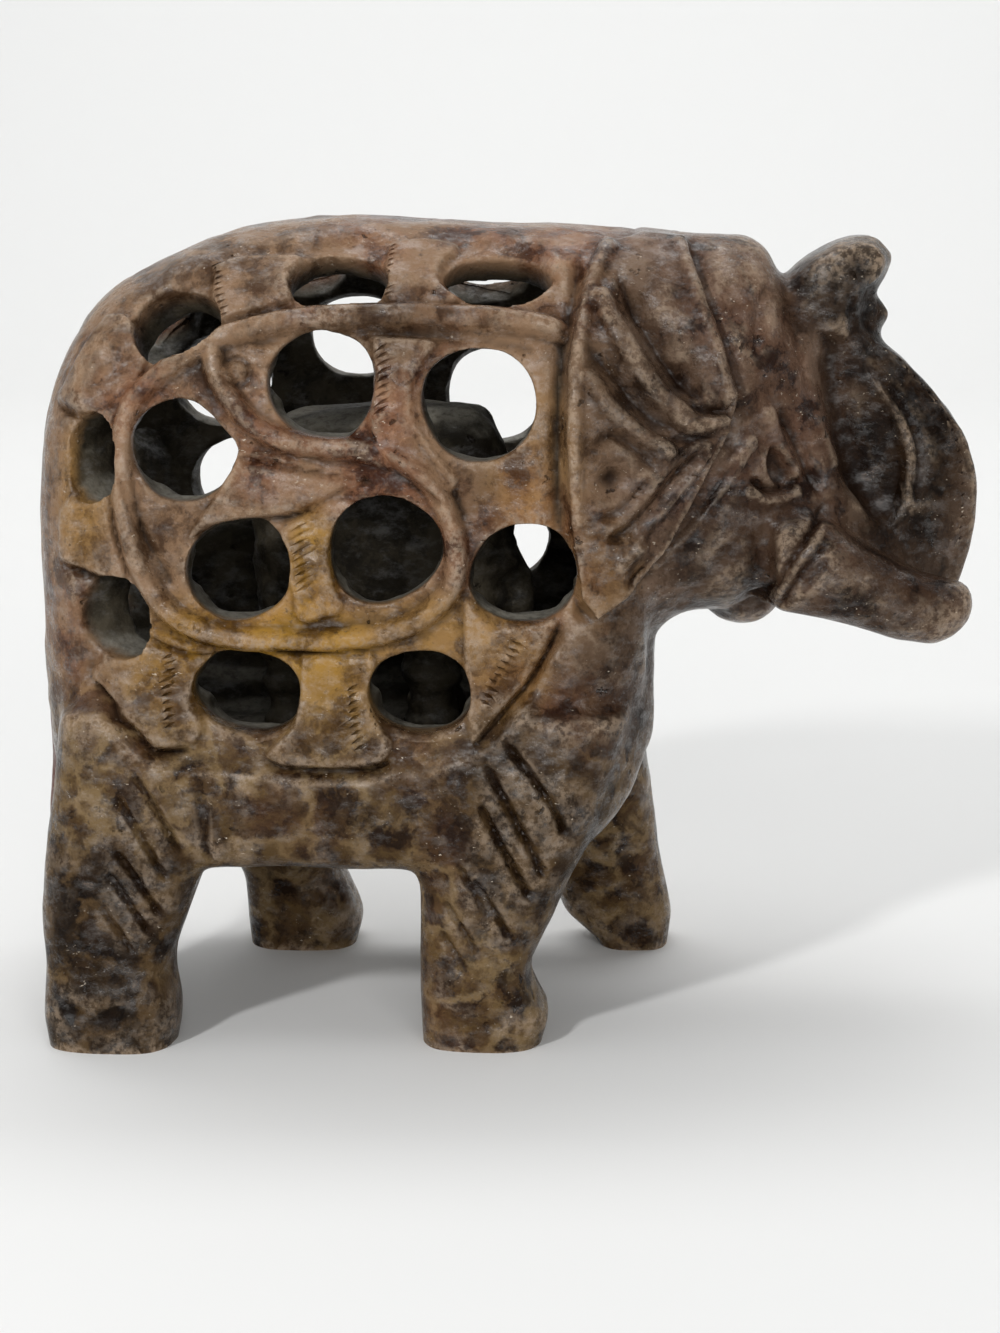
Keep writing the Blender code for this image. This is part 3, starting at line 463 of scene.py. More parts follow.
def cutter(name, side, x, z, rise, turn, outline):
    """A straight cutter through one wall. Its outline is given in parts, towards the trunk and up."""
    outward = Matrix.Rotation(np.radians(turn) * side, 3, "Z") @ Vector((0.0, side, 0.0))
    outward = outward * np.cos(np.radians(rise)) + Vector((0.0, 0.0, np.sin(np.radians(rise))))
    along = (outward.cross(Vector((0.0, 0.0, 1.0))) * side).normalized()
    upward = along.cross(outward) * side
    middle = Vector((x, side * body_half_width(x, z), z)) * PART
    ends = [middle - outward * WALL * HOLE_REACH_IN, middle + outward * WALL * HOLE_REACH_OUT]
    stone = bmesh.new()
    add_loft(stone, [[end + (along * a + upward * b) * PART for a, b in outline] for end in ends])
    return object_from(name, stone)


def hole_tools():
    """A cutter for every opening in the two walls."""
    tools = []
    fine = np.arange(HOLE_SIDES) * 2 * np.pi / HOLE_SIDES
    for number, (x, z, rise, turn, radii) in enumerate(NEAR_HOLES):
        radius = np.interp(fine, np.linspace(0, 2 * np.pi, len(radii) + 1), radii + radii[:1])
        outline = np.stack([np.cos(fine) * radius, np.sin(fine) * radius], axis=1)
        tools.append(cutter(f"near_cutter_{number}", -1, x, z, rise, turn, outline))
    for number, (x, z, rise, turn, half_length, half_height) in enumerate(FAR_HOLES):
        outline = np.stack(oval(half_length, half_height, half_height, FAR_HOLE_SQUARENESS, HOLE_SIDES), axis=1)
        tools.append(cutter(f"far_cutter_{number}", 1, x, z, rise, turn, outline))
    return tools


# The small elephant inside. It is a plain block of body, head, trunk and four legs, cut free of the walls and left as
# the chisel leaves it, and it is still joined to the belly floor.
CALF_WIDTH = 0.0180
CALF_ROWS = [
    (-32.4, 70.0, 56.0, 0.45),
    (-31.2, 74.0, 50.0, 0.80),
    (-27.5, 76.2, 46.5, 1.00),
    (-21.0, 76.6, 46.0, 1.00),
    (-14.0, 77.2, 46.0, 1.00),
    (-8.0, 77.4, 46.5, 0.98),
    (-3.4, 76.6, 48.5, 0.82),
    (-0.8, 72.5, 52.0, 0.60),
    (0.6, 67.0, 56.5, 0.40),
]
CALF_WAIST = 61.0
CALF_SQUARENESS = 5.5
CALF_LEG_X = [-27.6, -9.6]
CALF_LEG_HALF = 3.6
CALF_LEG_Y = 0.52
# Height above the floor, and thickness against CALF_LEG_HALF
CALF_LEG_ROWS = [(-3.0, 1.05), (4.0, 0.92), (12.0, 1.0), (22.0, 1.2)]
CALF_LEG_SQUARENESS = 2.4
CALF_ROUNDS = 4
CALF_TRUNK = [
    (-2.2, 0.0, 66.0, 2.8), (-1.6, 0.0, 59.0, 2.8), (0.4, 0.0, 53.5, 2.8), (0.9, 0.0, 44.0, 2.5),
    (0.2, 0.0, 31.0, 2.5),
]
FINE_VOXEL = 0.0004


def fuse(obj, voxel, smoothing):
    """Makes the forms in the object one skin, and softens where they meet."""
    skin = obj.modifiers.new("skin", "REMESH")
    skin.mode = "VOXEL"
    skin.voxel_size = voxel
    soften = obj.modifiers.new("soften", "SMOOTH")
    soften.factor = 0.5
    soften.iterations = smoothing
    apply_modifiers(obj)


def calf():
    """The small elephant, cut free of the walls but still standing on the belly floor by its feet and trunk."""
    stone = bmesh.new()
    add_barrel(stone, CALF_ROWS, CALF_WIDTH, CALF_WAIST, CALF_SQUARENESS)
    floor = BELLY_LOW + BELLY_FLOOR / PART
    for x in CALF_LEG_X:
        for side in (-1, 1):
            centre = side * CALF_LEG_Y * CALF_WIDTH / 2
            half = CALF_LEG_HALF * PART
            rings = []
            for above, grow in CALF_LEG_ROWS:
                u, v = oval(half * grow, half * grow, half * grow, CALF_LEG_SQUARENESS, 18)
                rings.append([(x * PART + a, centre + b, (floor + above) * PART) for a, b in zip(u, v)])
            add_loft(stone, rings)
    add_tube(stone, [(x * PART, y * PART, z * PART, half * PART, half * PART) for x, y, z, half in CALF_TRUNK])
    small = object_from("calf", stone)
    fuse(small, FINE_VOXEL, CALF_ROUNDS)
    return small


# The roughed figure. Everything above is one stone, so the forms are fused to one skin whose seams are softened as a
# rasp would, then the hollow is taken out and the small elephant left in.
ROUGH_VOXEL = 0.0009
ROUGH_ROUNDS, FINE_ROUNDS = 7, 3


def elephant():
    stone = bmesh.new()
    add_barrel(stone, BODY_ROWS, BODY_WIDTH, BODY_WAIST, BODY_SQUARENESS)
    add_barrel(stone, HEAD_ROWS, HEAD_WIDTH, HEAD_WAIST, HEAD_SQUARENESS)
    girdle(stone)
    add_leg(stone, BACK_HIND_LEG, -1)
    add_leg(stone, BACK_FORE_LEG, -1)
    add_leg(stone, FORWARD_HIND_LEG, 1)
    add_leg(stone, FORWARD_FORE_LEG, 1)
    trunk(stone)
    tusks(stone)
    chin(stone)
    tail(stone)
    figure = object_from("soapstone_elephant", stone)
    fuse(figure, ROUGH_VOXEL, ROUGH_ROUNDS)
    combine(figure, [ears()], "UNION")
    combine(figure, [cavity_tool(), *hole_tools()], "DIFFERENCE")
    combine(figure, [calf()], "UNION")
    fuse(figure, FINE_VOXEL, FINE_ROUNDS)
    return figure


stone_elephant = elephant()


# Carving of the near side. The stone's skin is worked with rifflers and small chisels: a recessed ground, a vine in
# the round and leaves that overlap it. Each mark is a line or an outline along X and up, in parts of the height.
RECESS = [
    (-51.5, 60.0), (-50.7, 47.3), (-48.4, 42.8), (-45.3, 39.5), (-42.2, 37.2), (-38.6, 35.9),
    (-34.4, 35.7), (-28.0, 35.2), (-20.8, 34.8), (-12.5, 35.5), (-6.1, 37.0), (-1.1, 39.7), (2.6, 43.6),
    (5.2, 48.3), (7.4, 53.0), (7.0, 62.0), (6.8, 75.0), (7.6, 88.0), (4.0, 97.0), (-12.0, 99.4),
    (-30.0, 97.0), (-42.0, 91.0), (-49.5, 80.0), (-51.0, 70.0),
]
RECESS_DEPTH, RECESS_EDGE = 1.25, 1.1
NEAR_VINE = [
    (6.8, 88.2), (3.3, 89.0), (-2.5, 89.6), (-8.7, 89.9), (-14.4, 89.9), (-20.2, 89.7), (-25.5, 89.3),
    (-30.0, 88.3), (-34.4, 86.8), (-38.0, 84.8), (-41.2, 82.6), (-43.9, 80.0), (-45.1, 77.2),
    (-45.5, 73.5), (-45.5, 69.1), (-44.9, 64.6), (-43.9, 60.6), (-42.2, 57.0), (-40.0, 54.3),
    (-37.0, 52.4), (-32.8, 51.3), (-27.9, 50.9), (-22.0, 50.9), (-16.6, 51.4), (-12.2, 52.4), (-8.8, 54.3),
    (-6.3, 56.9), (-5.3, 60.1), (-5.6, 63.7), (-6.7, 67.2), (-8.9, 70.3), (-12.0, 72.6), (-15.6, 73.7),
    (-19.1, 74.2), (-22.7, 74.5), (-26.2, 75.2), (-29.3, 76.9), (-31.8, 79.4), (-33.3, 81.8),
    (-34.3, 84.0), (-34.6, 86.0),
]
VINE_RISE, VINE_HALF_WIDTH = 1.35, 1.4
VINE_BED, VINE_PROUD = 0.1, 0.5
NEAR_LEAVES = [
    [
        (-35.0, 95.3), (-32.1, 96.4), (-28.0, 96.9), (-24.3, 96.7), (-25.8, 94.1), (-25.2, 92.0),
        (-27.4, 91.0), (-31.4, 90.0), (-34.0, 89.3), (-34.9, 92.0),
    ],
    [
        (-13.9, 98.2), (-10.2, 98.8), (-5.6, 98.2), (-7.6, 95.8), (-7.5, 93.7), (-5.2, 91.6), (-9.6, 91.2),
        (-13.8, 91.4), (-14.3, 94.1),
    ],
    [
        (-15.4, 87.5), (-12.1, 87.4), (-8.0, 86.8), (-10.0, 83.4), (-10.7, 79.9), (-9.7, 76.5),
        (-7.3, 73.0), (-5.2, 70.3), (-7.4, 68.2), (-10.3, 70.0), (-12.9, 72.6), (-15.1, 75.2),
        (-15.5, 78.2), (-15.0, 82.0),
    ],
    [
        (-16.5, 70.9), (-20.9, 71.9), (-25.3, 72.9), (-29.8, 73.8), (-32.0, 73.2), (-32.8, 71.1),
        (-33.8, 68.8), (-35.6, 66.2), (-37.4, 63.2), (-34.3, 64.6), (-30.7, 65.5), (-27.2, 65.9),
        (-23.6, 66.4), (-20.0, 67.8), (-16.9, 70.0),
    ],
    [
        (-23.9, 66.0), (-26.3, 64.2), (-25.9, 59.9), (-25.0, 56.8), (-24.2, 53.4), (-21.1, 53.8),
        (-19.0, 54.8), (-20.1, 57.7), (-20.6, 61.3), (-19.8, 64.8), (-17.6, 67.4), (-19.6, 68.0),
    ],
    [
        (-24.0, 49.2), (-15.6, 49.4), (-15.9, 44.9), (-15.3, 42.0), (-13.3, 39.1), (-13.9, 36.9),
        (-15.6, 36.0), (-20.7, 35.7), (-26.2, 35.9), (-28.3, 36.9), (-27.1, 38.8), (-25.0, 41.0),
        (-24.3, 44.8),
    ],
    [
        (-46.1, 52.3), (-41.9, 51.9), (-37.9, 50.4), (-34.7, 49.6), (-36.6, 46.1), (-37.5, 43.2),
        (-36.0, 40.4), (-37.7, 38.3), (-41.9, 37.9), (-43.7, 40.0), (-46.8, 43.0), (-49.9, 46.0),
        (-48.6, 48.0),
    ],
    [
        (-4.3, 56.7), (-1.9, 54.4), (0.3, 53.1), (3.5, 53.1), (6.7, 53.5), (5.2, 49.7), (2.6, 45.5),
        (-1.0, 41.4), (-3.3, 38.9), (-4.0, 42.0), (-4.4, 50.0),
    ],
    [
        (-54.4, 79.0), (-51.1, 78.2), (-49.0, 77.4), (-47.3, 76.0), (-46.4, 77.5), (-44.0, 81.5),
        (-42.5, 86.5), (-48.0, 89.0),
    ],
    [
        (-53.6, 60.3), (-50.2, 59.0), (-47.8, 58.2), (-45.2, 58.4), (-46.8, 64.0), (-47.4, 69.0),
        (-50.0, 69.4), (-53.6, 66.0),
    ],
]
LEAF_RISE, LEAF_EDGE = 1.05, 0.32
# Cuts with the edge of a tool: the middle line, its half width and its depth, which NEAR_CUT_SHARE deepens
NEAR_CUT_SHARE = 1.25
NEAR_CUTS = [
    ([(-31.6, 73.2), (-28.9, 72.6), (-25.3, 71.9), (-20.9, 71.2), (-16.9, 70.4), (-15.2, 69.8)], 0.55, 0.9),
    ([(-37.1, 63.1), (-34.3, 64.5), (-29.8, 65.4), (-25.4, 66.0), (-21.4, 67.5), (-17.4, 70.0)], 0.5, 0.8),
    ([(-10.7, 76.5), (-8.5, 73.0), (-5.8, 69.2), (-4.6, 65.0)], 0.5, 0.6),
    ([(-15.6, 74.6), (-12.9, 72.0), (-9.8, 69.6), (-7.0, 67.3)], 0.5, 0.9),
    ([(-28.6, 36.7), (-26.2, 35.4), (-20.7, 35.1), (-15.7, 35.4), (-13.2, 36.5)], 0.55, 0.9),
    ([(-27.7, 49.6), (-23.9, 49.3), (-20.3, 49.2), (-15.8, 49.2)], 0.4, 0.7),
    ([(-49.8, 45.2), (-46.6, 42.3), (-43.5, 39.3), (-41.6, 37.5), (-37.5, 37.6)], 0.5, 0.9),
    ([(6.9, 53.3), (5.3, 49.3), (2.9, 45.1), (-0.5, 41.2), (-3.2, 38.4)], 0.5, 0.8),
    ([(-43.4, 51.4), (-40.1, 49.9), (-36.5, 48.9), (-34.3, 49.3)], 0.45, 0.9),
    ([(-4.6, 57.0), (-2.0, 54.2), (0.6, 52.6)], 0.45, 0.8),
    ([(-45.6, 70.8), (-44.3, 66.8), (-42.6, 62.8), (-40.4, 59.0), (-39.6, 57.4)], 0.5, 0.55),
    ([(-54.0, 78.4), (-51.1, 77.6), (-49.0, 76.8), (-47.2, 75.4)], 0.45, 0.9),
    ([(-53.6, 59.6), (-50.2, 58.4), (-47.8, 57.6), (-45.5, 57.6)], 0.45, 0.8),
    ([(-30.0, 86.6), (-24.0, 87.4), (-14.0, 87.9), (-4.0, 87.2), (4.0, 86.0)], 0.7, 0.45),
]
NEAR_BUD = (-31.6, 83.2, 1.5)
BUD_RISE, BUD_GROOVE, BUD_GROOVE_WIDTH = 0.5, 0.6, 0.4
NEAR_LEG_CUTS = [
    ([(0.6, 39.0), (3.6, 35.2), (6.2, 31.6), (8.0, 27.6)], 0.42, 0.98),
    ([(-1.9, 36.4), (0.6, 31.8), (3.4, 26.6), (5.4, 22.4)], 0.46, 1.20),
    ([(-2.6, 31.6), (-0.4, 27.4), (2.2, 22.6), (3.8, 19.6)], 0.42, 1.05),
    ([(-5.2, 24.0), (-3.2, 20.6), (-1.4, 17.4)], 0.35, 0.75),
    ([(-3.4, 22.4), (-1.0, 18.6), (1.4, 14.6)], 0.35, 0.75),
    ([(-7.0, 19.6), (-4.8, 16.2), (-3.0, 12.8)], 0.35, 0.68),
    ([(-7.6, 15.8), (-5.6, 12.8), (-4.0, 10.4)], 0.34, 0.60),
    ([(-44.4, 35.2), (-41.6, 30.6), (-38.8, 24.8)], 0.38, 0.83),
    ([(-46.4, 32.2), (-43.4, 27.0), (-40.4, 21.4)], 0.38, 0.75),
    ([(-46.8, 25.6), (-44.2, 21.8), (-41.4, 17.0)], 0.38, 0.90),
    ([(-47.6, 22.6), (-45.2, 18.8), (-42.8, 14.8)], 0.35, 0.83),
    ([(-48.8, 18.6), (-46.6, 15.2), (-44.6, 12.2)], 0.34, 0.68),
    ([(-36.6, 34.6), (-35.9, 29.0), (-35.6, 23.4)], 0.50, 0.45),
]
NEAR_FOOT_CUTS = [
    ([(-54.0, 6.6), (-51.6, 4.6), (-48.6, 4.2), (-46.0, 5.8)], 1.1, 0.8),
    ([(-7.4, 5.4), (-4.0, 3.6), (0.4, 3.4)], 0.9, 0.35),
]


def line_distance(points, line):
    """Distance in X and Z of each point from a broken line, all in parts."""
    nearest = np.full(len(points), np.inf)
    for start, end in zip(np.array(line[:-1], float), np.array(line[1:], float)):
        step = end - start
        t = np.clip((points - start) @ step / (step @ step), 0, 1)
        nearest = np.minimum(nearest, np.linalg.norm(points - start - t[:, None] * step, axis=1))
    return nearest


def polygon_mask(points, outline, edge):
    """1 inside a closed outline and 0 outside it, with a soft edge of the width given."""
    corners = smooth_rows([*outline, outline[0]], 3)[:-1]
    inside = np.zeros(len(points), bool)
    for start, end in zip(corners, np.roll(corners, -1, axis=0)):
        spans = (start[1] > points[:, 1]) != (end[1] > points[:, 1])
        with np.errstate(divide="ignore", invalid="ignore"):
            cross = start[0] + (points[:, 1] - start[1]) * (end[0] - start[0]) / (end[1] - start[1])
        inside ^= spans & (points[:, 0] < cross)
    far = line_distance(points, np.vstack([corners, corners[:1]]))
    return smoothstep(-edge, edge, np.where(inside, far, -far))


def smoothstep(low, high, value):
    t = np.clip((value - low) / (high - low), 0.0, 1.0)
    return t * t * (3 - 2 * t)


def cord(points, line, half_width, rise):
    """The section of a round cord that lies along a line."""
    reach = line_distance(points, smooth_rows(line, 3)) / half_width
    return rise * np.sqrt(np.clip(1 - reach**2, 0, 1))


def cut(points, line, half_width, depth):
    """A V-shaped cut with a rounded floor, which runs out to nothing at its two ends."""
    track = smooth_rows(line, 3)
    spans = np.linalg.norm(np.diff(track, axis=0), axis=1)
    lengths = np.concatenate([[0.0], np.cumsum(spans)])
    nearest, along = np.full(len(points), np.inf), np.zeros(len(points))
    for start, end, before, span in zip(track[:-1], track[1:], lengths, spans):
        t = np.clip((points - start) @ (end - start) / span**2, 0, 1)
        away = np.linalg.norm(points - start - t[:, None] * (end - start), axis=1)
        along = np.where(away < nearest, before + t * span, along)
        nearest = np.minimum(nearest, away)
    taper = np.clip(np.minimum(along, lengths[-1] - along) / (2.2 * half_width), 0.05, 1) ** 0.6
    return depth * taper * np.exp(-((nearest / (half_width * taper)) ** 1.4))


def pit(points, x, z, radius, depth):
    return depth * np.exp(-((np.hypot(points[:, 0] - x, points[:, 1] - z) / radius) ** 2))


def shift(features, along):
    return [([(x + along, z) for x, z in line], half_width, depth) for line, half_width, depth in features]


def body_depth(points):
    """How far each point lies under the skin of the body's barrel, in parts. Outside it the depth is negative."""
    table = smooth_rows(BODY_ROWS)
    x, y, z = points[:, 0], np.abs(points[:, 1]), points[:, 2]
    top, low, share = (np.interp(x, table[:, 0], table[:, column]) for column in (1, 2, 3))
    half = np.maximum(share * BODY_WIDTH / 2 / PART, 1.0)
    height = np.abs(z - BODY_WAIST) / np.where(z > BODY_WAIST, top - BODY_WAIST, BODY_WAIST - low)
    reach = ((y / half) ** BODY_SQUARENESS + height**BODY_SQUARENESS) ** (1 / BODY_SQUARENESS)
    return (1 - reach) * np.minimum(half, 25.0)


def near_relief(points):
    raised = -RECESS_DEPTH * polygon_mask(points, RECESS, RECESS_EDGE)
    for outline in NEAR_LEAVES:
        raised = raised + LEAF_RISE * polygon_mask(points, outline, LEAF_EDGE)
    vine = cord(points, NEAR_VINE, VINE_HALF_WIDTH, VINE_RISE + VINE_PROUD)
    raised = np.maximum(raised, -RECESS_DEPTH + VINE_BED + vine)
    for line, half_width, depth in NEAR_CUTS + NEAR_LEG_CUTS + NEAR_FOOT_CUTS:
        raised = raised - NEAR_CUT_SHARE * cut(points, line, half_width, depth)
    x, z, radius = NEAR_BUD
    away = np.hypot(points[:, 0] - x, points[:, 1] - z)
    raised = raised + BUD_RISE * smoothstep(radius + 0.3, radius - 0.5, away)
    return raised - BUD_GROOVE * np.exp(-(((away - radius) / BUD_GROOVE_WIDTH) ** 2))


# Carving of the far side, which the photograph hides. It has the same ground, vine and leg cuts, and fewer leaves.
# Its leg cuts sit further forward, as its legs do, and are shallower.
FAR_SHIFT = 8.4
FAR_CUT_SHARE = 0.7
FAR_RECESS_EDGE = 0.7
FAR_VINE = [
    (7.0, 88.0), (0.0, 89.2), (-8.0, 91.0), (-16.0, 92.2), (-24.0, 91.8), (-33.0, 89.4), (-41.0, 87.4),
    (-46.0, 83.0), (-47.6, 76.0), (-46.6, 68.0), (-44.6, 61.6), (-40.0, 57.4), (-32.0, 57.0),
    (-24.0, 58.2), (-16.0, 58.6), (-10.6, 61.6), (-9.8, 66.4), (-11.4, 71.6), (-15.0, 75.2), (-21.0, 76.4),
    (-26.6, 75.4), (-30.0, 72.4), (-30.2, 67.6),
]
FAR_LEAVES = [
    [
        (-33.0, 86.5), (-29.4, 88.4), (-27.6, 86.0), (-30.4, 82.0), (-30.0, 77.4), (-32.0, 76.4),
        (-33.0, 80.0),
    ],
    [
        (-11.8, 88.6), (-8.6, 87.6), (-10.4, 82.0), (-9.4, 76.0), (-12.0, 73.4), (-13.8, 77.4),
        (-13.2, 83.0),
    ],
    [
        (-22.0, 57.4), (-18.6, 57.6), (-19.4, 50.0), (-17.6, 43.6), (-21.0, 41.4), (-24.4, 43.6),
        (-22.0, 50.0),
    ],
]


def far_relief(points):
    raised = -RECESS_DEPTH * polygon_mask(points, RECESS, FAR_RECESS_EDGE)
    for outline in FAR_LEAVES:
        raised = raised + LEAF_RISE * polygon_mask(points, outline, LEAF_EDGE)
    vine = cord(points, FAR_VINE, VINE_HALF_WIDTH, VINE_RISE + VINE_PROUD)
    raised = np.maximum(raised, -RECESS_DEPTH + VINE_BED + vine)
    for line, half_width, depth in shift(NEAR_LEG_CUTS, FAR_SHIFT):
        raised = raised - FAR_CUT_SHARE * cut(points, line, half_width, depth)
    return raised


# Carving of the head. Folds of the ears, the eye under its lid, the mouth, wrinkles of the cheek and the hollow of the
# trunk are cut alike on both sides. Cuts and ridges are a middle line, its half width, and its depth or rise.
EAR_CUTS = [
    (
        [(9.0, 96.4), (7.7, 89.5), (6.9, 84.7), (6.6, 75.3), (7.0, 65.8), (8.6, 56.3), (11.0, 53.2)],
        0.8, 1.4,
    ),
    ([(13.6, 94.4), (15.8, 91.0), (18.2, 87.4), (20.4, 84.0), (22.4, 81.4), (24.0, 79.8)], 1.5, 3.2),
    ([(22.0, 79.6), (24.6, 78.4), (27.4, 78.6), (29.6, 80.0)], 0.75, 1.2),
    ([(10.0, 86.4), (12.6, 83.4), (15.6, 80.2), (18.4, 77.6), (21.0, 76.2)], 1.1, 2.0),
    ([(19.6, 75.6), (22.4, 75.2), (25.4, 76.0), (28.0, 77.4)], 0.7, 1.2),
    ([(10.6, 74.6), (12.6, 75.8), (14.8, 75.2), (16.8, 73.6), (18.4, 71.6)], 0.8, 1.3),
    ([(11.4, 66.0), (13.6, 66.6), (15.8, 68.4), (17.6, 70.8)], 0.7, 1.2),
    ([(12.6, 63.4), (15.0, 64.6), (17.8, 67.4), (20.6, 70.8), (24.4, 74.2)], 0.75, 1.6),
    ([(16.4, 62.4), (20.4, 66.8), (24.0, 71.0), (27.4, 75.6)], 0.85, 1.5),
    ([(15.0, 57.6), (18.8, 61.2), (23.6, 66.4), (28.2, 72.4)], 0.9, 1.4),
    ([(22.4, 98.4), (24.5, 92.9), (26.8, 85.9), (28.6, 80.1)], 0.7, 0.9),
]
EAR_RIDGES = [
    ([(12.4, 97.4), (10.2, 93.0), (8.9, 86.0), (8.5, 76.0), (8.9, 66.0)], 1.1, 0.7),
    ([(11.8, 91.6), (14.0, 87.6), (16.6, 83.4), (19.6, 79.8), (22.6, 77.2), (26.0, 76.8)], 1.4, 1.3),
    ([(10.2, 82.6), (13.2, 79.0), (16.4, 76.2), (19.6, 74.0)], 1.1, 0.9),
    ([(21.0, 98.2), (23.1, 92.9), (25.4, 85.9), (27.0, 80.1)], 0.9, 0.6),
    ([(14.4, 60.4), (18.4, 64.8), (22.2, 69.0), (26.0, 73.4)], 0.9, 0.7),
    ([(18.2, 60.0), (22.2, 64.4), (26.4, 69.6), (29.6, 74.4)], 1.0, 0.7),
]
EAR_PITS = [(12.9, 70.8, 1.7, 2.4), (27.6, 90.6, 2.6, 0.9)]
FACE_CUTS = [
    ([(33.4, 78.6), (34.9, 76.0), (36.2, 73.2), (37.3, 70.2), (38.8, 67.2)], 1.0, 1.7),
    ([(29.6, 70.2), (31.1, 68.9), (32.8, 68.4), (34.6, 68.8), (36.2, 69.8)], 0.5, 1.2),
    ([(31.0, 54.2), (33.2, 57.8), (35.0, 60.7), (36.9, 63.4), (39.3, 66.4)], 0.5, 1.0),
    ([(33.4, 54.2), (35.0, 57.0), (36.6, 59.5), (39.0, 62.4)], 0.45, 0.9),
    ([(36.1, 56.4), (37.4, 58.6), (39.2, 60.8)], 0.6, 0.8),
    ([(31.8, 93.4), (30.8, 89.4), (30.3, 84.6)], 0.8, 0.8),
    ([(21.0, 53.6), (24.6, 58.0), (28.4, 62.8)], 0.9, 0.6),
]
FACE_RIDGES = [
    ([(31.8, 77.8), (33.4, 74.2), (35.4, 70.4)], 0.9, 0.6),
    ([(29.8, 68.4), (31.4, 67.4), (33.4, 67.2), (35.4, 68.0)], 0.85, 0.8),
    ([(36.4, 86.0), (37.8, 81.4), (39.2, 76.0), (40.6, 71.6)], 1.0, 0.5),
    ([(32.3, 55.0), (34.2, 58.2), (36.0, 61.0), (38.2, 63.8)], 0.8, 0.3),
]
FACE_PITS = [(31.0, 53.8, 1.6, 1.2)]
EYE_RECESS = [(32.4, 73.4), (33.8, 72.2), (35.0, 70.6), (34.7, 69.5), (33.4, 69.0), (32.3, 70.4), (32.0, 72.0)]
EYE_DEPTH, EYE_EDGE = 1.5, 0.4
MOUTH = [(27.8, 52.6), (29.0, 54.8), (31.0, 55.4), (32.4, 54.2), (32.8, 52.2), (31.2, 51.4), (29.4, 51.6)]
MOUTH_DEPTH, MOUTH_EDGE = 1.0, 0.5
TRUNK_CUTS = [
    ([(38.9, 86.6), (40.0, 80.6), (41.2, 75.2), (42.9, 69.9), (45.1, 65.6)], 1.5, 1.2),
    (
        [
            (42.4, 91.6), (42.6, 87.4), (44.6, 83.6), (47.2, 80.2), (49.4, 77.2), (51.0, 73.8),
            (51.5, 69.9), (50.8, 66.0),
        ],
        0.9, 0.9,
    ),
    ([(45.2, 93.0), (44.4, 89.6), (45.0, 86.6)], 0.6, 0.7),
]
TRUNK_HOLLOW = [
    (38.8, 86.4), (42.4, 86.0), (45.2, 81.4), (47.6, 77.4), (49.0, 73.0), (49.2, 68.6), (48.2, 64.6),
    (45.6, 64.8), (43.2, 69.4), (41.2, 75.0), (39.8, 80.6),
]
HOLLOW_DEPTH, HOLLOW_EDGE = 1.7, 1.1
TRUNK_RIDGES = [
    (
        [
            (41.8, 91.0), (41.4, 88.6), (42.2, 86.0), (44.0, 82.9), (46.3, 79.2), (48.3, 76.2),
            (49.5, 73.2), (50.0, 69.8), (49.3, 66.0), (47.8, 62.6),
        ],
        1.5, 0.35,
    ),
    (
        [
            (46.4, 85.2), (48.9, 82.9), (52.0, 80.0), (54.6, 77.0), (56.6, 73.6), (57.8, 69.8),
            (58.2, 66.0), (57.8, 60.0),
        ],
        1.3, 0.25,
    ),
]


def head_relief(points):
    raised = np.zeros(len(points))
    for line, half_width, rise in EAR_RIDGES + FACE_RIDGES:
        raised = raised + cord(points, line, half_width, rise)
    for line, half_width, rise in TRUNK_RIDGES:
        raised = raised + cut(points, line, half_width, rise)
    for line, half_width, depth in EAR_CUTS + FACE_CUTS + TRUNK_CUTS:
        raised = raised - cut(points, line, half_width, depth)
    for x, z, radius, depth in EAR_PITS + FACE_PITS:
        raised = raised - pit(points, x, z, radius, depth)
    raised = raised - HOLLOW_DEPTH * polygon_mask(points, TRUNK_HOLLOW, HOLLOW_EDGE)
    raised = raised - EYE_DEPTH * polygon_mask(points, EYE_RECESS, EYE_EDGE)
    return raised - MOUTH_DEPTH * polygon_mask(points, MOUTH, MOUTH_EDGE)


# The worked skin. The carving moves each corner of the mesh in or out, along the way the body's smooth side faces, and
# it dies out on the stone's ends, on the top and in the hollow.


def mesh_arrays(mesh):
    count = len(mesh.vertices)
    place, normal = np.empty(count * 3), np.empty(count * 3)
    mesh.vertices.foreach_get("co", place)
    mesh.vertices.foreach_get("normal", normal)
    return place.reshape(-1, 3), normal.reshape(-1, 3)


def body_facing(points):
    """The way the body's smooth side faces at each point, whatever openings have been cut into it."""
    table = smooth_rows(BODY_ROWS)
    x, y, z = points[:, 0], points[:, 1], points[:, 2]
    top, low, share = (np.interp(x, table[:, 0], table[:, column]) for column in (1, 2, 3))
    half = np.maximum(share * BODY_WIDTH / 2 / PART, 1.0)
    reach = np.where(z > BODY_WAIST, top - BODY_WAIST, BODY_WAIST - low)
    power = BODY_SQUARENESS - 1
    across = np.sign(y) * (np.abs(y) / half) ** power / half
    upward = np.sign(z - BODY_WAIST) * (np.abs(z - BODY_WAIST) / reach) ** power / reach
    facing = np.stack([np.zeros(len(points)), across, upward], axis=1)
    return facing / np.maximum(np.linalg.norm(facing, axis=1), 1e-9)[:, None]


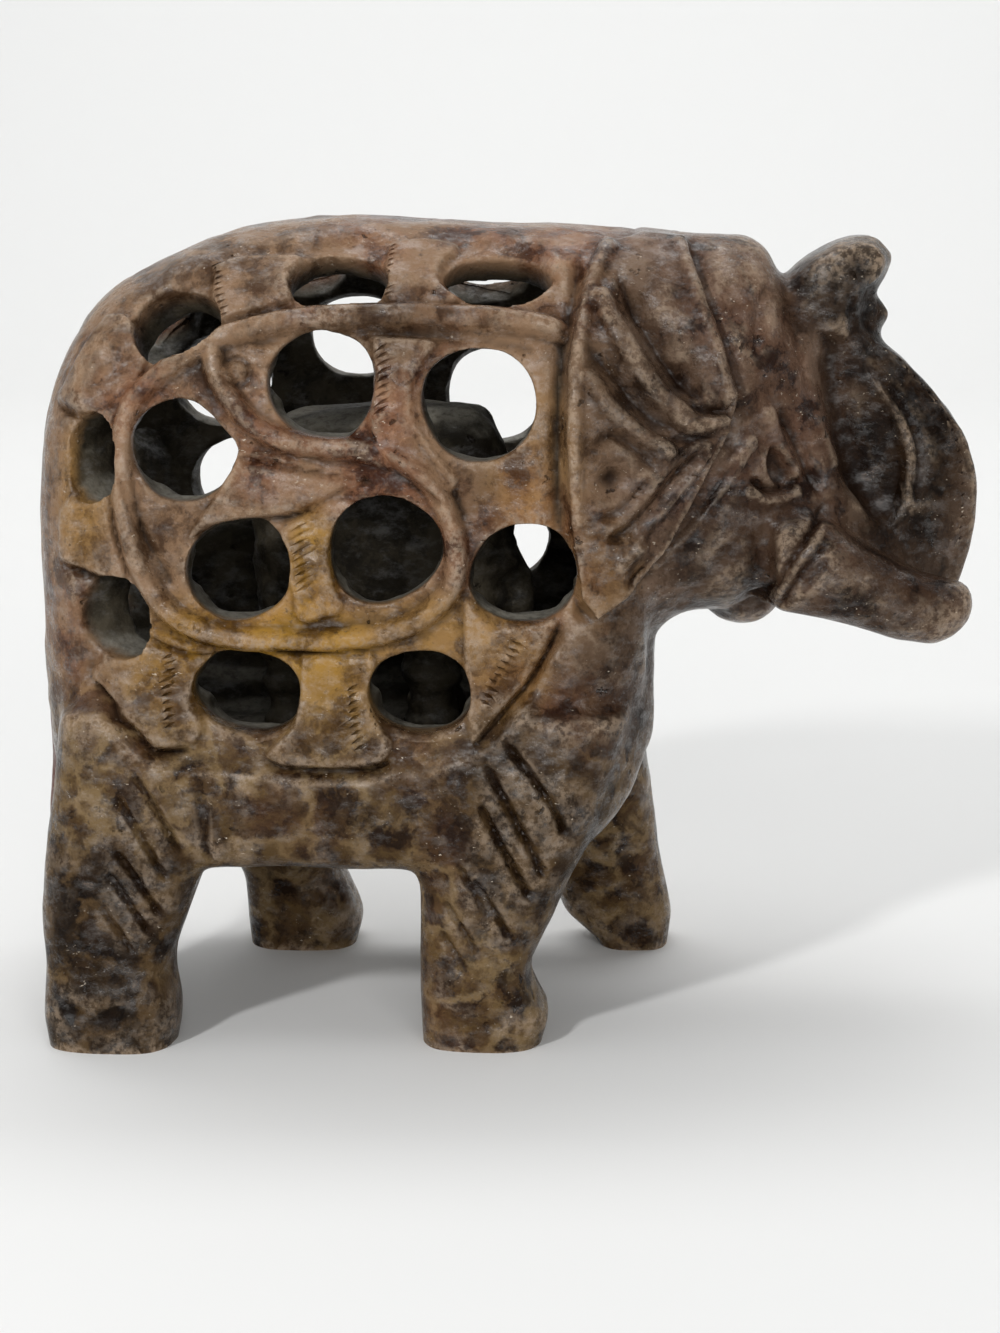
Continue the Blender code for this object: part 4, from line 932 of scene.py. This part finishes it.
def carving(place, normal):
    """How far, in metres, every vertex moves from the roughed skin to the finished one."""
    points = place / PART
    side = np.sign(points[:, 1])
    depth = body_depth(points)
    in_body = smoothstep(17.0, 13.0, points[:, 0]) * smoothstep(24.0, 27.0, points[:, 2])
    in_body = in_body * smoothstep(-3.0, -1.5, depth)
    facing = normal + in_body[:, None] * (body_facing(points) - normal)
    skin = 1 - in_body * smoothstep(0.8, 4.2, depth)
    share = smoothstep(0.05, 0.45, facing[:, 1] * side) * skin
    share = share * smoothstep(3.0, 7.0, np.abs(points[:, 1]) + 4.0 * (points[:, 0] > 30))
    raised = np.zeros(len(points))
    for name, chosen in (("near", side < 0), ("far", side > 0)):
        rows = np.flatnonzero(chosen & (share > 0.01))
        flat = points[rows][:, [0, 2]]
        body = near_relief(flat) if name == "near" else far_relief(flat)
        raised[rows] = body + head_relief(flat)
    return facing * (raised * share * PART)[:, None]


# Tool marks. Nothing is machined: the skin waves a little from the rasp, and the hollow is left in short gouge
# strokes. Each row is the height of the waves and their length, in metres.
SKIN_WAVES = [(0.00020, 0.0065), (0.00011, 0.0024)]
GOUGES = [(0.00050, 0.0036), (0.00026, 0.0016)]
STROKE, STROKE_LENGTH, STROKE_BEND = 0.00045, 0.0052, 2.2


def waves(points):
    """Smooth random heights from -1 to 1, their hills about one unit apart."""
    corner = np.floor(points)
    near = points - corner
    near = near * near * (3 - 2 * near)
    total = np.zeros(len(points))
    for step in np.ndindex(2, 2, 2):
        scatter = np.sin((corner + step) @ (127.1, 311.7, 74.7)) * 43758.5
        total += (2 * (scatter - np.floor(scatter)) - 1) * np.where(step, near, 1 - near).prod(axis=1)
    return total


def unevenness(place):
    depth = body_depth(place / PART)
    hollow = smoothstep(1.5, 5.0, depth) * (place[:, 0] < 15 * PART) * (place[:, 2] > 25 * PART)
    skin = sum(height * waves(place / length) for height, length in SKIN_WAVES)
    gouged = sum(height * waves(place / length * (0.5, 1.0, 1.5)) for height, length in GOUGES)
    rows = place[:, 2] / STROKE_LENGTH * 2 * np.pi + STROKE_BEND * waves(place / (3 * STROKE_LENGTH))
    low = smoothstep(52.0, 44.0, place[:, 2] / PART)
    return skin + hollow * (gouged + low * STROKE * np.sin(rows))


def carve(obj):
    place, normal = mesh_arrays(obj.data)
    moved = place + carving(place, normal) + normal * unevenness(place)[:, None]
    obj.data.vertices.foreach_set("co", moved.ravel())
    obj.data.update()


def shift_to_frame(obj):
    """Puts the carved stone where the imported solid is, with its feet cut flat on the ground."""
    stone = bmesh.new()
    stone.from_mesh(obj.data)
    geometry = stone.verts[:] + stone.edges[:] + stone.faces[:]
    made = bmesh.ops.bisect_plane(stone, geom=geometry, plane_co=(0, 0, 0), plane_no=(0, 0, 1), clear_inner=True)
    rims = [edge for edge in made["geom_cut"] if isinstance(edge, bmesh.types.BMEdge)]
    bmesh.ops.edgeloop_fill(stone, edges=rims)
    stone.to_mesh(obj.data)
    stone.free()
    low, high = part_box("elephant")
    corners, _ = mesh_arrays(obj.data)
    middle = (corners.min(axis=0) + corners.max(axis=0)) / 2
    moved = corners + np.array([(low[0] + high[0]) / 2 - middle[0], (low[1] + high[1]) / 2 - middle[1], 0.0])
    obj.data.vertices.foreach_set("co", moved.ravel())
    obj.data.update()


FACETS = 180000


def facet(obj, count):
    """Thins the mesh where the stone is flat."""
    obj.data.calc_loop_triangles()
    thin = obj.modifiers.new("facets", "DECIMATE")
    thin.ratio = min(1.0, count / len(obj.data.loop_triangles))
    thin.use_collapse_triangulate = True
    apply_modifiers(obj)


carve(stone_elephant)
rub = stone_elephant.modifiers.new("rub", "SMOOTH")
rub.factor, rub.iterations = 0.35, 2
apply_modifiers(stone_elephant)
facet(stone_elephant, FACETS)
shift_to_frame(stone_elephant)


# The finish is soapstone, talc-rich and soft, ground, then waxed on the outside and left sawn and dusty inside. Waxed
# soapstone shows its own brown, ochre and grey under a thin uneven gloss, with dark pits, pale veins and worn edges.
# Over it lie painted highlights on bulges, painted glints, and painted shade in dips and on shaded parts.
STONE_IOR = 1.56
# Widths in millimetres of the stone's own patterns: the drift that bends them, the cells between veins, and the pits
DRIFT_MM, CELL_MM, PIT_MM = 5.0, 6.5, 2.6
DRIFT_REACH = 0.0065


def linear(colour):
    """A colour in sRGB hex as linear RGBA."""
    channels = [int(colour[i : i + 2], 16) / 255 for i in (1, 3, 5)]
    return [c / 12.92 if c <= 0.04045 else ((c + 0.055) / 1.055) ** 2.4 for c in channels] + [1.0]


def add_node(tree, kind, settings=None, **links):
    """Adds a node. Settings set its properties, and links set its inputs to a value or to another node's output."""
    node = tree.nodes.new(kind)
    for name, value in (settings or {}).items():
        setattr(node, name, value)
    for name, value in links.items():
        key = int(name[1:]) if name[0] == "i" and name[1:].isdigit() else name.replace("_", " ")
        if isinstance(value, bpy.types.NodeSocket):
            tree.links.new(value, node.inputs[key])
        else:
            node.inputs[key].default_value = value
    return node


def waxed_soapstone():
    material = bpy.data.materials.new("waxed_soapstone")
    material.use_nodes = True
    tree = material.node_tree
    tree.nodes.clear()
    place = add_node(tree, "ShaderNodeTexCoord").outputs["Object"]

    def attribute(name):
        return add_node(tree, "ShaderNodeAttribute", {"attribute_name": name}).outputs["Fac"]

    def clouds_of(size_mm, detail=4.0, roughness=0.6, at=place, distortion=0.0):
        """Noise whose clouds are as wide as size_mm."""
        node = add_node(
            tree, "ShaderNodeTexNoise", Vector=at, Scale=1000 / size_mm, Detail=detail, Roughness=roughness,
            Distortion=distortion,
        )
        return node.outputs["Fac"]

    def step(value, low, high, start=0.0, end=1.0):
        node = add_node(
            tree, "ShaderNodeMapRange", {"interpolation_type": "SMOOTHSTEP"}, Value=value, From_Min=low, From_Max=high,
            To_Min=start, To_Max=end,
        )
        return node.outputs["Result"]

    def maths(operation, first, second=0.0, clamp=False):
        settings = {"operation": operation, "use_clamp": clamp}
        return add_node(tree, "ShaderNodeMath", settings, i0=first, i1=second).outputs[0]

    def blend(share, first, second, kind="MIX"):
        first = linear(first) if isinstance(first, str) else first
        second = linear(second) if isinstance(second, str) else second
        settings = {"data_type": "RGBA", "blend_type": kind}
        return add_node(tree, "ShaderNodeMix", settings, i0=share, i6=first, i7=second).outputs[2]

    drift = add_node(tree, "ShaderNodeTexNoise", Vector=place, Scale=1000 / DRIFT_MM, Detail=4.0, Roughness=0.65)
    drift = drift.outputs["Color"]
    offset = add_node(tree, "ShaderNodeVectorMath", {"operation": "SUBTRACT"}, i0=drift, i1=(0.5, 0.5, 0.5)).outputs[0]
    offset = add_node(tree, "ShaderNodeVectorMath", {"operation": "SCALE"}, i0=offset, Scale=DRIFT_REACH).outputs[0]
    warped = add_node(tree, "ShaderNodeVectorMath", {"operation": "ADD"}, i0=place, i1=offset).outputs[0]
    broad, clouds, grain = clouds_of(24.0), clouds_of(6.0, 8.0, 0.66, warped), clouds_of(0.9, 5.0, 0.7)
    streaks = add_node(
        tree, "ShaderNodeMapping", Vector=place, Rotation=(0.3, 0.6, 0.2), Scale=(1.0, 1.0, 1.7)
    ).outputs[0]
    rubbed = clouds_of(3.2, 7.0, 0.72, streaks)

    red = blend(step(clouds, 0.38, 0.50), "#3a2014", "#714c36")
    red = blend(step(clouds, 0.50, 0.62), red, "#8e674c")
    taupe = blend(step(clouds, 0.38, 0.58), "#443020", "#7f644c")
    red = blend(step(broad, 0.40, 0.56), red, taupe)
    yellow = blend(step(clouds, 0.36, 0.60), "#513710", "#9c752c")
    shade = blend(step(clouds, 0.40, 0.62), "#0b0502", "#271a0e")
    ochre = maths("MULTIPLY", attribute("ochre"), step(clouds_of(9.0), 0.30, 0.60, 0.6, 1.0))
    ashen = blend(step(clouds, 0.38, 0.50), "#1d1511", "#4a3a30")
    ashen = blend(step(clouds, 0.50, 0.64), ashen, "#6e5c50")
    upper = blend(maths("MULTIPLY", attribute("ashen"), 0.7), red, ashen)
    upper = blend(ochre, upper, yellow)
    # Painted shade: the shade colour darkens the trunk, cheek and shoulders, mixed with the stone's dark patches.
    upper = blend(maths("MULTIPLY", attribute("dark_stone_and_shade"), 0.95), upper, shade)

    cells = add_node(
        tree, "ShaderNodeTexVoronoi", {"feature": "DISTANCE_TO_EDGE"}, Vector=warped, Scale=1000 / CELL_MM,
        Randomness=1.0,
    ).outputs["Distance"]
    patches = clouds_of(3.8, 4.0, 0.6, warped)
    lower = blend(step(patches, 0.42, 0.52), "#1d1006", "#42301c")
    lower = blend(step(patches, 0.52, 0.64), lower, "#594529")
    veins = maths("MULTIPLY", step(cells, 0.02, 0.16, 1.0, 0.0), step(clouds, 0.40, 0.56, 0.1, 0.85))
    lower = blend(veins, lower, "#776244")
    # Painted shade: the shade colour darkens the legs and feet, mixed with the stone's dark patches.
    lower = blend(maths("MULTIPLY", attribute("dark_stone_and_shade"), 0.9), lower, blend(veins, shade, "#46341f"))
    low = maths("MULTIPLY", attribute("low"), step(clouds_of(12.0), 0.25, 0.55, 0.7, 1.0))
    waxed = blend(low, upper, lower)
    waxed = blend(step(rubbed, 0.60, 0.78, 0.0, 0.45), waxed, "#8f7256")
    waxed = blend(step(grain, 0.56, 0.70, 0.0, 0.6), waxed, "#1f130c")
    # Painted glints: pale specks along the rubbed streaks stand in for highlights.
    painted_glints = clouds_of(0.7, 3.0, 0.6, streaks)
    painted_glints = maths("MULTIPLY", step(painted_glints, 0.66, 0.74), step(clouds_of(7.0), 0.45, 0.6, 0.0, 0.8))
    waxed = blend(painted_glints, waxed, "#c9bba8")
    waxed = blend(attribute("tail"), waxed, blend(clouds, "#3b1a10", "#66392b"))
    # Painted highlight: bulges and edges are lightened, partly as wear and partly in place of highlights.
    waxed = blend(maths("MULTIPLY", attribute("wear_and_highlight"), step(grain, 0.40, 0.60, 0.1, 0.6)), waxed, "#a8937d")
    # Painted shade: dips and creases are darkened, partly as dirt and partly as shade.
    waxed = blend(maths("MULTIPLY", attribute("dirt_and_crease_shade"), 0.75, True), waxed, "#1a0f08")

    sawn = blend(step(clouds, 0.38, 0.62), "#1d1912", "#403a2f")
    sawn = blend(maths("MULTIPLY", attribute("dust"), step(grain, 0.3, 0.6, 0.35, 0.9)), sawn, "#78746a")
    inside = attribute("inside")
    colour = blend(inside, waxed, sawn)

    holes = add_node(
        tree, "ShaderNodeTexVoronoi", {"feature": "F1"}, Vector=warped, Scale=1000 / PIT_MM, Randomness=1.0
    ).outputs["Distance"]
    pits = maths("MULTIPLY", step(holes, 0.20, 0.08), step(clouds_of(7.0), 0.52, 0.62))
    colour = blend(maths("MULTIPLY", pits, 0.7), colour, "#100805")

    rough = step(clouds, 0.35, 0.65, 0.16, 0.32)
    rough = maths("ADD", rough, maths("MULTIPLY", inside, 0.38))
    rough = maths("ADD", rough, maths("MULTIPLY", attribute("dirt_and_crease_shade"), 0.25), True)

    height = maths("MULTIPLY", grain, 0.35)
    height = maths("ADD", height, maths("MULTIPLY", rubbed, 0.6))
    height = maths("ADD", height, maths("MULTIPLY", clouds_of(3.4, 3.0), 1.1))
    height = maths("SUBTRACT", height, maths("MULTIPLY", pits, 1.2))
    bump = add_node(tree, "ShaderNodeBump", Strength=0.8, Distance=0.0004, Height=height).outputs[0]
    gloss = step(rubbed, 0.46, 0.68, 0.07, 0.7)
    shader = add_node(
        tree, "ShaderNodeBsdfPrincipled", Base_Color=colour, Roughness=rough, IOR=STONE_IOR, Specular_IOR_Level=gloss,
        Normal=bump,
    )
    add_node(tree, "ShaderNodeOutputMaterial", Surface=shader.outputs[0])
    return material


finish = waxed_soapstone()

# Hatching. Rows of short slanting notches, filed across the middle of the leaves, and smaller ones along the trunk's
# rim. Each notch is a slim wedge of stone taken out, and no two are quite alike.
# Each row is its middle line along X and up, and its notches' length and slant in degrees.
NEAR_ROWS = [
    ([(-13.7, 86.0), (-13.5, 83.4), (-13.5, 81.2), (-13.6, 78.8)], 3.6, 32.0),
    ([(-23.6, 64.8), (-23.4, 62.2), (-23.2, 59.9), (-23.0, 57.6)], 3.2, 28.0),
    ([(-34.2, 95.4), (-34.0, 93.2), (-33.6, 91.3), (-33.0, 89.6)], 2.8, 24.0),
    ([(-13.1, 97.6), (-13.4, 95.4), (-13.4, 93.7), (-13.5, 92.0)], 2.8, 26.0),
    ([(-17.4, 45.4), (-17.2, 43.0), (-16.9, 40.6), (-16.4, 38.4)], 2.4, 30.0),
    ([(-39.6, 49.0), (-39.8, 46.5), (-39.8, 44.1), (-39.4, 40.8)], 2.6, 26.0),
    ([(2.6, 50.8), (1.2, 48.4), (-0.4, 46.0), (-1.6, 43.8)], 2.2, -30.0),
]
RIM_ROWS = [
    (
        [(46.6, 86.4), (49.6, 82.8), (52.8, 79.4), (55.4, 75.8), (56.9, 71.6), (57.5, 66.4), (57.3, 61.0)],
        1.5, 20.0,
    ),
]
FAR_ROWS = [
    ([(-31.2, 87.0), (-31.4, 83.4), (-31.4, 79.0)], 2.8, 30.0),
    ([(-11.2, 87.4), (-11.6, 82.4), (-11.6, 77.6)], 2.8, 30.0),
    ([(-20.8, 55.0), (-21.4, 50.0), (-21.2, 45.0)], 3.0, 28.0),
]
NOTCH_SPACING, NOTCH_HALF_WIDTH, NOTCH_DEPTH = 0.86, 0.28, 0.30
# Half a notch's length against its row's, at least and at most, and how far it tilts. The rim's notches are smaller.
HALF_LEAST, HALF_MOST, TILT = 0.38, 0.55, 0.06
SMALLER = 0.8


def notch_tree():
    """Nodes that set slim wedges along a line, evenly spaced and each a little different."""
    tree = bpy.data.node_groups.new("notch_row", "GeometryNodeTree")
    tree.interface.new_socket("Line", in_out="INPUT", socket_type="NodeSocketGeometry")
    for name in ("Spacing", "Length", "Half Width", "Depth", "Slant"):
        tree.interface.new_socket(name, in_out="INPUT", socket_type="NodeSocketFloat")
    tree.interface.new_socket("Wedges", in_out="OUTPUT", socket_type="NodeSocketGeometry")
    given = add_node(tree, "NodeGroupInput").outputs
    line = add_node(tree, "GeometryNodeMeshToCurve", Mesh=given["Line"]).outputs[0]
    spots = add_node(tree, "GeometryNodeResampleCurve", {"mode": "LENGTH"}, Curve=line, Length=given["Spacing"])
    spots = spots.outputs[0]
    wedge = add_node(tree, "GeometryNodeMeshUVSphere", Segments=4, Rings=2, Radius=1.0).outputs["Mesh"]
    stretch = add_node(tree, "FunctionNodeRandomValue", i2=HALF_LEAST, i3=HALF_MOST, Seed=3).outputs[1]
    tilt = add_node(tree, "FunctionNodeRandomValue", i2=-TILT, i3=TILT, Seed=8).outputs[1]
    half = add_node(tree, "ShaderNodeMath", {"operation": "MULTIPLY"}, i0=given["Length"], i1=stretch).outputs[0]
    turn = add_node(tree, "ShaderNodeMath", {"operation": "SUBTRACT"}, i0=tilt, i1=given["Slant"]).outputs[0]
    size = add_node(tree, "ShaderNodeCombineXYZ", X=half, Y=given["Depth"], Z=given["Half Width"]).outputs[0]
    swing = add_node(tree, "ShaderNodeCombineXYZ", Y=turn).outputs[0]
    row = add_node(tree, "GeometryNodeInstanceOnPoints", Points=spots, Instance=wedge, Rotation=swing, Scale=size)
    row = row.outputs[0]
    solid = add_node(tree, "GeometryNodeRealizeInstances", Geometry=row).outputs[0]
    coated = add_node(tree, "GeometryNodeSetMaterial", Geometry=solid, Material=finish).outputs[0]
    add_node(tree, "NodeGroupOutput", Wedges=coated)
    return tree


def notch_row(tree, skin, side, line, sizes):
    """The wedges of one row, laid on the skin of the side that faces the given way in Y."""
    track = smooth_rows(line, 4) * PART
    hits = [skin.ray_cast(Vector((x, side * 0.1, z)), Vector((0, -side, 0)))[0] for x, z in track]
    found = [hit for hit in hits if hit is not None]
    mesh = bpy.data.meshes.new("notch_line")
    mesh.from_pydata(found, [(i, i + 1) for i in range(len(found) - 1)], [])
    obj = bpy.data.objects.new("notch_line", mesh)
    bpy.context.scene.collection.objects.link(obj)
    maker = obj.modifiers.new("notches", "NODES")
    maker.node_group = tree
    for item in tree.interface.items_tree:
        if item.name in sizes:
            maker[item.identifier] = sizes[item.name]
    bpy.context.view_layer.update()
    apply_modifiers(obj)
    return obj


def hatch(obj):
    skin = BVHTree.FromObject(obj, bpy.context.evaluated_depsgraph_get())
    tree = notch_tree()
    wedges = bmesh.new()
    places = [(NEAR_ROWS, -1, 1.0), (FAR_ROWS, 1, 1.0), (RIM_ROWS, -1, SMALLER), (RIM_ROWS, 1, SMALLER)]
    for rows, side, scale in places:
        for line, length, slant in rows:
            sizes = {
                "Spacing": NOTCH_SPACING * PART / scale**2, "Length": length * PART, "Slant": np.radians(slant),
                "Half Width": NOTCH_HALF_WIDTH * PART, "Depth": NOTCH_DEPTH * scale * PART,
            }
            row = notch_row(tree, skin, side, line, sizes)
            wedges.from_mesh(row.data)
            bpy.data.objects.remove(row)
    combine(obj, [object_from("notch_wedges", wedges)], "DIFFERENCE")


hatch(stone_elephant)

# Wear, colour and painted light. Masks painted on the stone's corners say where it is worn and lit by a painted
# highlight, dirty and darkened by painted shade, dusty or left sawn, where painted shade falls, and where the block
# itself runs from red-brown to ochre and dark brown.


def paint(obj, name, values):
    layer = obj.data.attributes.new(name, "FLOAT", "POINT")
    layer.data.foreach_set("value", np.asarray(values, np.float32))


def bend(mesh, place, normal, rounds):
    """How far the skin bulges (positive) or dips (negative) against its surroundings, in metres."""
    edges = np.empty(len(mesh.edges) * 2, np.int64)
    mesh.edges.foreach_get("vertices", edges)
    a, b = edges.reshape(-1, 2).T
    count = np.bincount(a, minlength=len(place)) + np.bincount(b, minlength=len(place))
    soft = place.copy()
    for _ in range(rounds):
        axes = [np.bincount(a, soft[b, k], len(place)) + np.bincount(b, soft[a, k], len(place)) for k in range(3)]
        soft = np.stack(axes, 1) / count[:, None]
    return np.einsum("ij,ij->i", place - soft, normal)


def blobs(points, rows):
    """A soft mask from ovals in X and Z, all in parts: middle, half sizes and strength."""
    total = np.zeros(len(points))
    for x, z, half_x, half_z, strength in rows:
        reach = ((points[:, 0] - x) / half_x) ** 2 + ((points[:, 1] - z) / half_z) ** 2
        total = np.maximum(total, strength * np.exp(-(reach**2.5)))
    return total


OCHRE = [
    (-28.0, 50.0, 16.0, 6.5, 1.0), (-20.5, 46.0, 7.0, 11.0, 0.8), (-22.0, 59.0, 3.6, 8.0, 0.9),
    (-39.0, 46.0, 6.0, 9.0, 0.75), (-6.0, 52.0, 12.0, 5.0, 0.55), (1.5, 48.0, 5.0, 8.0, 0.5),
    (12.0, 60.0, 5.0, 7.0, 0.25), (-50.0, 68.0, 3.5, 9.0, 0.5), (4.0, 72.0, 6.0, 10.0, 0.3),
]
# Painted shade and dark stone: ovals that darken the trunk's flank and top, the cheek, the shoulders and the feet where
# shade falls, together with the stone's own dark patches.
DARK_STONE_AND_SHADE = [
    (4.0, 30.0, 11.0, 14.0, 1.0), (-47.0, 17.0, 13.0, 10.0, 1.0), (-20.0, 27.0, 30.0, 6.0, 0.4),
    (-49.0, 4.0, 11.0, 7.0, 1.0), (18.0, 45.0, 14.0, 11.0, 0.75), (50.0, 77.0, 11.0, 24.0, 1.0),
    (31.0, 61.0, 12.0, 10.0, 0.8), (28.0, 74.0, 7.0, 12.0, 0.3), (48.0, 56.0, 14.0, 7.0, 0.75),
    (43.0, 92.0, 9.0, 8.0, 1.0), (16.0, 84.0, 9.0, 14.0, 0.45), (-12.0, 88.0, 6.0, 6.0, 0.45),
    (14.0, 62.0, 6.0, 9.0, 0.3), (-2.0, 66.0, 3.0, 9.0, 0.4),
]


def paint_stone(obj):
    mesh = obj.data
    place, normal = mesh_arrays(mesh)
    points = place / PART
    side = points[:, [0, 2]]
    depth = body_depth(points)
    inside = smoothstep(17.0, 12.0, points[:, 0]) * smoothstep(24.0, 27.5, points[:, 2]) * smoothstep(0.8, 3.0, depth)
    inside = inside * smoothstep(-55.5, -53.5, points[:, 0])
    fine, broad = bend(mesh, place, normal, 3), bend(mesh, place, normal, 16)
    paint(obj, "inside", inside)
    paint(obj, "dust", inside * smoothstep(0.25, 0.85, normal[:, 2]))
    # Bulges: wear and painted highlight.
    paint(obj, "wear_and_highlight", smoothstep(0.00005, 0.00020, fine) * 0.6 + smoothstep(0.0003, 0.0012, broad) * 0.5)
    # Dips and creases: dirt and painted shade.
    paint(obj, "dirt_and_crease_shade", smoothstep(0.00004, 0.00022, -fine) * 0.5 + smoothstep(0.00025, 0.0011, -broad) * 0.7)
    paint(obj, "ochre", blobs(side, OCHRE))
    # Painted shade together with the stone's dark patches, from the ovals above.
    paint(obj, "dark_stone_and_shade", blobs(side, DARK_STONE_AND_SHADE))
    paint(obj, "ashen", smoothstep(5.0, 20.0, points[:, 0]))
    low = smoothstep(49.0, 31.0, points[:, 2] + 0.1 * points[:, 0])
    paint(obj, "low", low * smoothstep(30.0, 20.0, points[:, 0] * 0.8))
    strip = smoothstep(-56.1, -56.9, points[:, 0]) * smoothstep(-14.0, -11.0, points[:, 1])
    strip = strip * smoothstep(4.2, 2.6, points[:, 1])
    paint(obj, "tail", strip * smoothstep(68.0, 62.0, points[:, 2]) * smoothstep(9.0, 13.0, points[:, 2]))


paint_stone(stone_elephant)
stone_elephant.data.materials.clear()
stone_elephant.data.materials.append(finish)
stone_elephant.data.shade_smooth()
stone_elephant.data.set_sharp_from_angle(angle=np.radians(50))
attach(stone_elephant, "root")
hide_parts("elephant")

# The studio. A sheet of pale paper lies under the figure and sweeps up behind it, lit by large soft lamps.
PAPER_WIDTH, PAPER_FRONT, PAPER_BACK, PAPER_RISE, PAPER_BEND = 3.0, -0.9, 0.9, 1.6, 0.45


def paper_sweep():
    turn = np.linspace(0, np.pi / 2, 16)
    curve = [(PAPER_BACK + np.sin(a) * PAPER_BEND, PAPER_BEND - np.cos(a) * PAPER_BEND) for a in turn]
    profile = [(PAPER_FRONT, 0.0), *curve, (PAPER_BACK + PAPER_BEND, PAPER_RISE)]
    sheet = bmesh.new()
    rows = [[sheet.verts.new((x, y, z)) for x in (-PAPER_WIDTH / 2, PAPER_WIDTH / 2)] for y, z in profile]
    for near, far in zip(rows, rows[1:]):
        sheet.faces.new((near[0], near[1], far[1], far[0]))
    return object_from("paper_sweep", sheet)


def matt_paper():
    material = bpy.data.materials.new("matt_paper")
    material.use_nodes = True
    shader = material.node_tree.nodes["Principled BSDF"]
    shader.inputs["Base Color"].default_value = linear("#e4e4e3")
    shader.inputs["Roughness"].default_value = 0.85
    return material


paper = paper_sweep()
paper.data.materials.append(matt_paper())
paper.data.shade_smooth()

LAMPS = [
    # name, place, aimed at, width, height, spread in degrees, power in watts
    ("overhead", (-0.05, 0.05, 0.95), (0.0, 0.05, 0.05), 0.8, 0.6, 180, 2.4),
    ("front", (0.22, -0.95, 0.40), (0.0, 0.0, 0.06), 0.5, 0.35, 180, 3.4),
    ("window", (-0.40, -0.65, 0.50), (0.0, 0.0, 0.06), 0.06, 0.08, 180, 3.4),
    ("backdrop", (0.0, 0.55, 1.20), (0.0, 1.20, 0.20), 1.8, 0.6, 180, 12.0),
]
for name, place, aim, width, height, spread, power in LAMPS:
    lamp = bpy.data.lights.new(name, "AREA")
    lamp.shape, lamp.size, lamp.size_y, lamp.energy = "RECTANGLE", width, height, power
    lamp.spread = np.radians(spread)
    holder = bpy.data.objects.new(name, lamp)
    holder.location = place
    holder.rotation_euler = (Vector(aim) - Vector(place)).to_track_quat("-Z", "Y").to_euler()
    bpy.context.scene.collection.objects.link(holder)

world = bpy.data.worlds.new("studio")
world.use_nodes = True
world.node_tree.nodes["Background"].inputs["Color"].default_value = linear("#eef0f1")
world.node_tree.nodes["Background"].inputs["Strength"].default_value = 0.34
bpy.context.scene.world = world
bpy.context.scene.view_settings.view_transform = "Standard"

# The photograph's viewpoint: about a third of a metre off, a little above the figure's shoulder. The picture is 1000 x
# 1333, and the figure's middle row sits above the picture's, which the shift allows for.
PICTURE_WIDTH = 1000
FOCAL_PIXELS = 2594
MIDDLE_ROW, FRAMED_ROW = 635, 666.5
camera = bpy.data.cameras.new("photo_view")
camera.sensor_fit, camera.sensor_width = "HORIZONTAL", 36.0
camera.lens = FOCAL_PIXELS / PICTURE_WIDTH * camera.sensor_width
camera.shift_y = (MIDDLE_ROW - FRAMED_ROW) / PICTURE_WIDTH
viewer = bpy.data.objects.new("photo_view", camera)
viewer.location = (0.013594, -0.329686, 0.1073)
viewer.rotation_euler = (np.radians(79.7), 0.0, np.radians(2.5))
bpy.context.scene.collection.objects.link(viewer)
bpy.context.scene.camera = viewer
